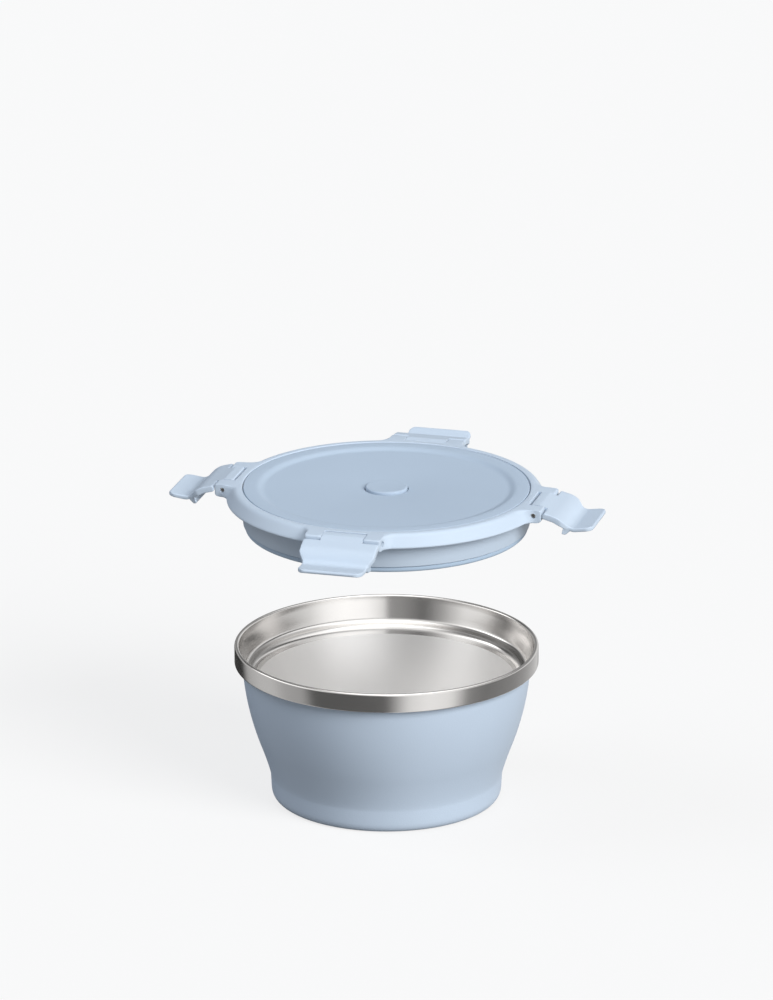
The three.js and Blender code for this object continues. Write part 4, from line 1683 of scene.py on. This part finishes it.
def studio_world(stage):
    """White behind the object, soft light on it, and pale and dark walls for metal to mirror."""
    world = bpy.data.worlds.new("Studio")
    world.use_nodes = True
    # Each kind of ray meets another light here, so the world isn't sampled like a lamp
    world.cycles.sampling_method = "NONE"
    tree = world.node_tree
    tree.nodes.clear()
    facing = add(tree, "ShaderNodeTexCoord").outputs["Generated"]
    spot = add(tree, "ShaderNodeSeparateXYZ", {"Vector": facing}).outputs
    turn = calculate(tree, "ARCTAN2", spot["Y"], spot["X"])
    camera_turn = stage.azimuth - math.pi / 2
    share = calculate(tree, "DIVIDE", calculate(tree, "SUBTRACT", turn, camera_turn), math.tau)
    wrapped = calculate(tree, "FRACT", calculate(tree, "ADD", share, 1.0))
    room = wall_ramp(tree, wrapped, LOW_WALLS)
    for walls, low, high in HIGHER_WALLS:
        room = blended(tree, between(tree, spot["Z"], low, high), room, wall_ramp(tree, wrapped, walls))
    ceiling = opaque([stage.ceiling] * 3)
    room = blended(tree, between(tree, spot["Z"], *CEILING_HEIGHTS), room, ceiling)
    path = add(tree, "ShaderNodeLightPath").outputs
    in_metal = calculate(tree, "MAXIMUM", path["Is Glossy Ray"], path["Is Transmission Ray"])
    ambient = background(tree, opaque(AMBIENT_TINT), stage.ambient)
    unseen = either(tree, in_metal, ambient, background(tree, room))
    shown = either(tree, path["Is Camera Ray"], unseen, background(tree, opaque(stage.floor)))
    add(tree, "ShaderNodeOutputWorld", {"Surface": shown})
    bpy.context.scene.world = world


def floor_finish(stage):
    """Plain floor that shows the background's colour and a soft part of the shadows on it."""
    material = bpy.data.materials.new("plain_floor")
    material.use_nodes = True
    tree = material.node_tree
    tree.nodes.clear()
    white = first_of(tree, "ShaderNodeBsdfDiffuse", {"Color": WHITE})
    plain = first_of(tree, "ShaderNodeEmission", {"Color": opaque(stage.floor), "Strength": 1.0})
    seen = either(tree, stage.floor_plainness, white, plain)
    bounce = first_of(tree, "ShaderNodeBsdfDiffuse", {"Color": opaque(stage.bounce)})
    camera_ray = add(tree, "ShaderNodeLightPath").outputs["Is Camera Ray"]
    add(tree, "ShaderNodeOutputMaterial", {"Surface": either(tree, camera_ray, bounce, seen)})
    return material


def look_from(name, data, stage, turn, height):
    """Put a camera or lamp round the object, by turn and height angle, and point it at the object."""
    aim = Vector((0.0, 0.0, stage.aim_height))
    level = math.cos(height) * stage.distance
    rise = math.sin(height) * stage.distance
    made = bpy.data.objects.new(name, data)
    made.location = aim + Vector((math.sin(turn) * level, -math.cos(turn) * level, rise))
    made.rotation_euler = (aim - made.location).to_track_quat("-Z", "Y").to_euler()
    bpy.context.scene.collection.objects.link(made)
    return made


class LUNCHBOWL_OT_stage(bpy.types.Operator):
    """Set up the camera, the floor and the light"""

    bl_idname = "lunch_bowl.stage"
    bl_label = "Stage"

    def execute(self, context):
        scene = context.scene
        stage = scene.lunch_bowl.stage
        scene.view_settings.view_transform = "Standard"
        camera = bpy.data.cameras.new("camera")
        camera.lens = stage.lens
        scene.camera = look_from("camera", camera, stage, stage.azimuth, stage.elevation)
        reach = stage.floor_radius
        corners = [(-reach, -reach, 0), (reach, -reach, 0), (reach, reach, 0), (-reach, reach, 0)]
        floor = new_object("floor", corners, [(0, 1, 2, 3)])
        floor.visible_glossy = False
        give(floor, floor_finish(stage))
        studio_world(stage)
        for name, turn, height, power, tint in LAMPS:
            sun = bpy.data.lights.new(name, "SUN")
            sun.angle = stage.softness
            sun.energy = power
            sun.color = tint
            lamp = look_from(name, sun, stage, stage.azimuth + math.radians(turn), math.radians(height))
            lamp.visible_glossy = False
        return {"FINISHED"}


class LUNCHBOWL_PT_sidebar(bpy.types.Panel):
    """Lists the pieces, sizes and finishes of the lunch bowl"""

    bl_idname = "LUNCHBOWL_PT_sidebar"
    bl_label = "Lunch Bowl"
    bl_space_type = "VIEW_3D"
    bl_region_type = "UI"
    bl_category = "Lunch Bowl"

    def draw(self, context):
        settings = context.scene.lunch_bowl
        for operator in OPERATORS:
            self.layout.operator(operator.bl_idname)
        for group in (settings.bowl, settings.lid, settings.latch, settings.finish, settings.stage):
            box = self.layout.box()
            for key in group.__annotations__:
                box.prop(group, key)


SETTINGS = (BowlSizes, LidSizes, LatchSizes, Finishes, StageSettings, LunchBowl)
OPERATORS = (
    LUNCHBOWL_OT_stage,
    LUNCHBOWL_OT_liner,
    LUNCHBOWL_OT_shell,
    LUNCHBOWL_OT_vacuum,
    LUNCHBOWL_OT_lid,
    LUNCHBOWL_OT_plate,
    LUNCHBOWL_OT_seals,
    LUNCHBOWL_OT_vent,
    LUNCHBOWL_OT_spring,
    LUNCHBOWL_OT_pins,
    LUNCHBOWL_OT_latches,
)


def register():
    """Add the settings, the operators and the panel to Blender."""
    for part in (*SETTINGS, *OPERATORS, LUNCHBOWL_PT_sidebar):
        bpy.utils.register_class(part)
    bpy.types.Scene.lunch_bowl = PointerProperty(type=LunchBowl)


def unregister():
    """Take them out again."""
    del bpy.types.Scene.lunch_bowl
    for part in reversed((*SETTINGS, *OPERATORS, LUNCHBOWL_PT_sidebar)):
        bpy.utils.unregister_class(part)


def main():
    """Build the whole bowl."""
    register()
    bpy.ops.lunch_bowl.stage()
    bpy.ops.lunch_bowl.liner()
    bpy.ops.lunch_bowl.shell()
    bpy.ops.lunch_bowl.vacuum()
    bpy.ops.lunch_bowl.lid()
    bpy.ops.lunch_bowl.plate()
    bpy.ops.lunch_bowl.seals()
    bpy.ops.lunch_bowl.vent()
    bpy.ops.lunch_bowl.spring()
    bpy.ops.lunch_bowl.pins()
    bpy.ops.lunch_bowl.latches()


if __name__ == "__main__":
    main()
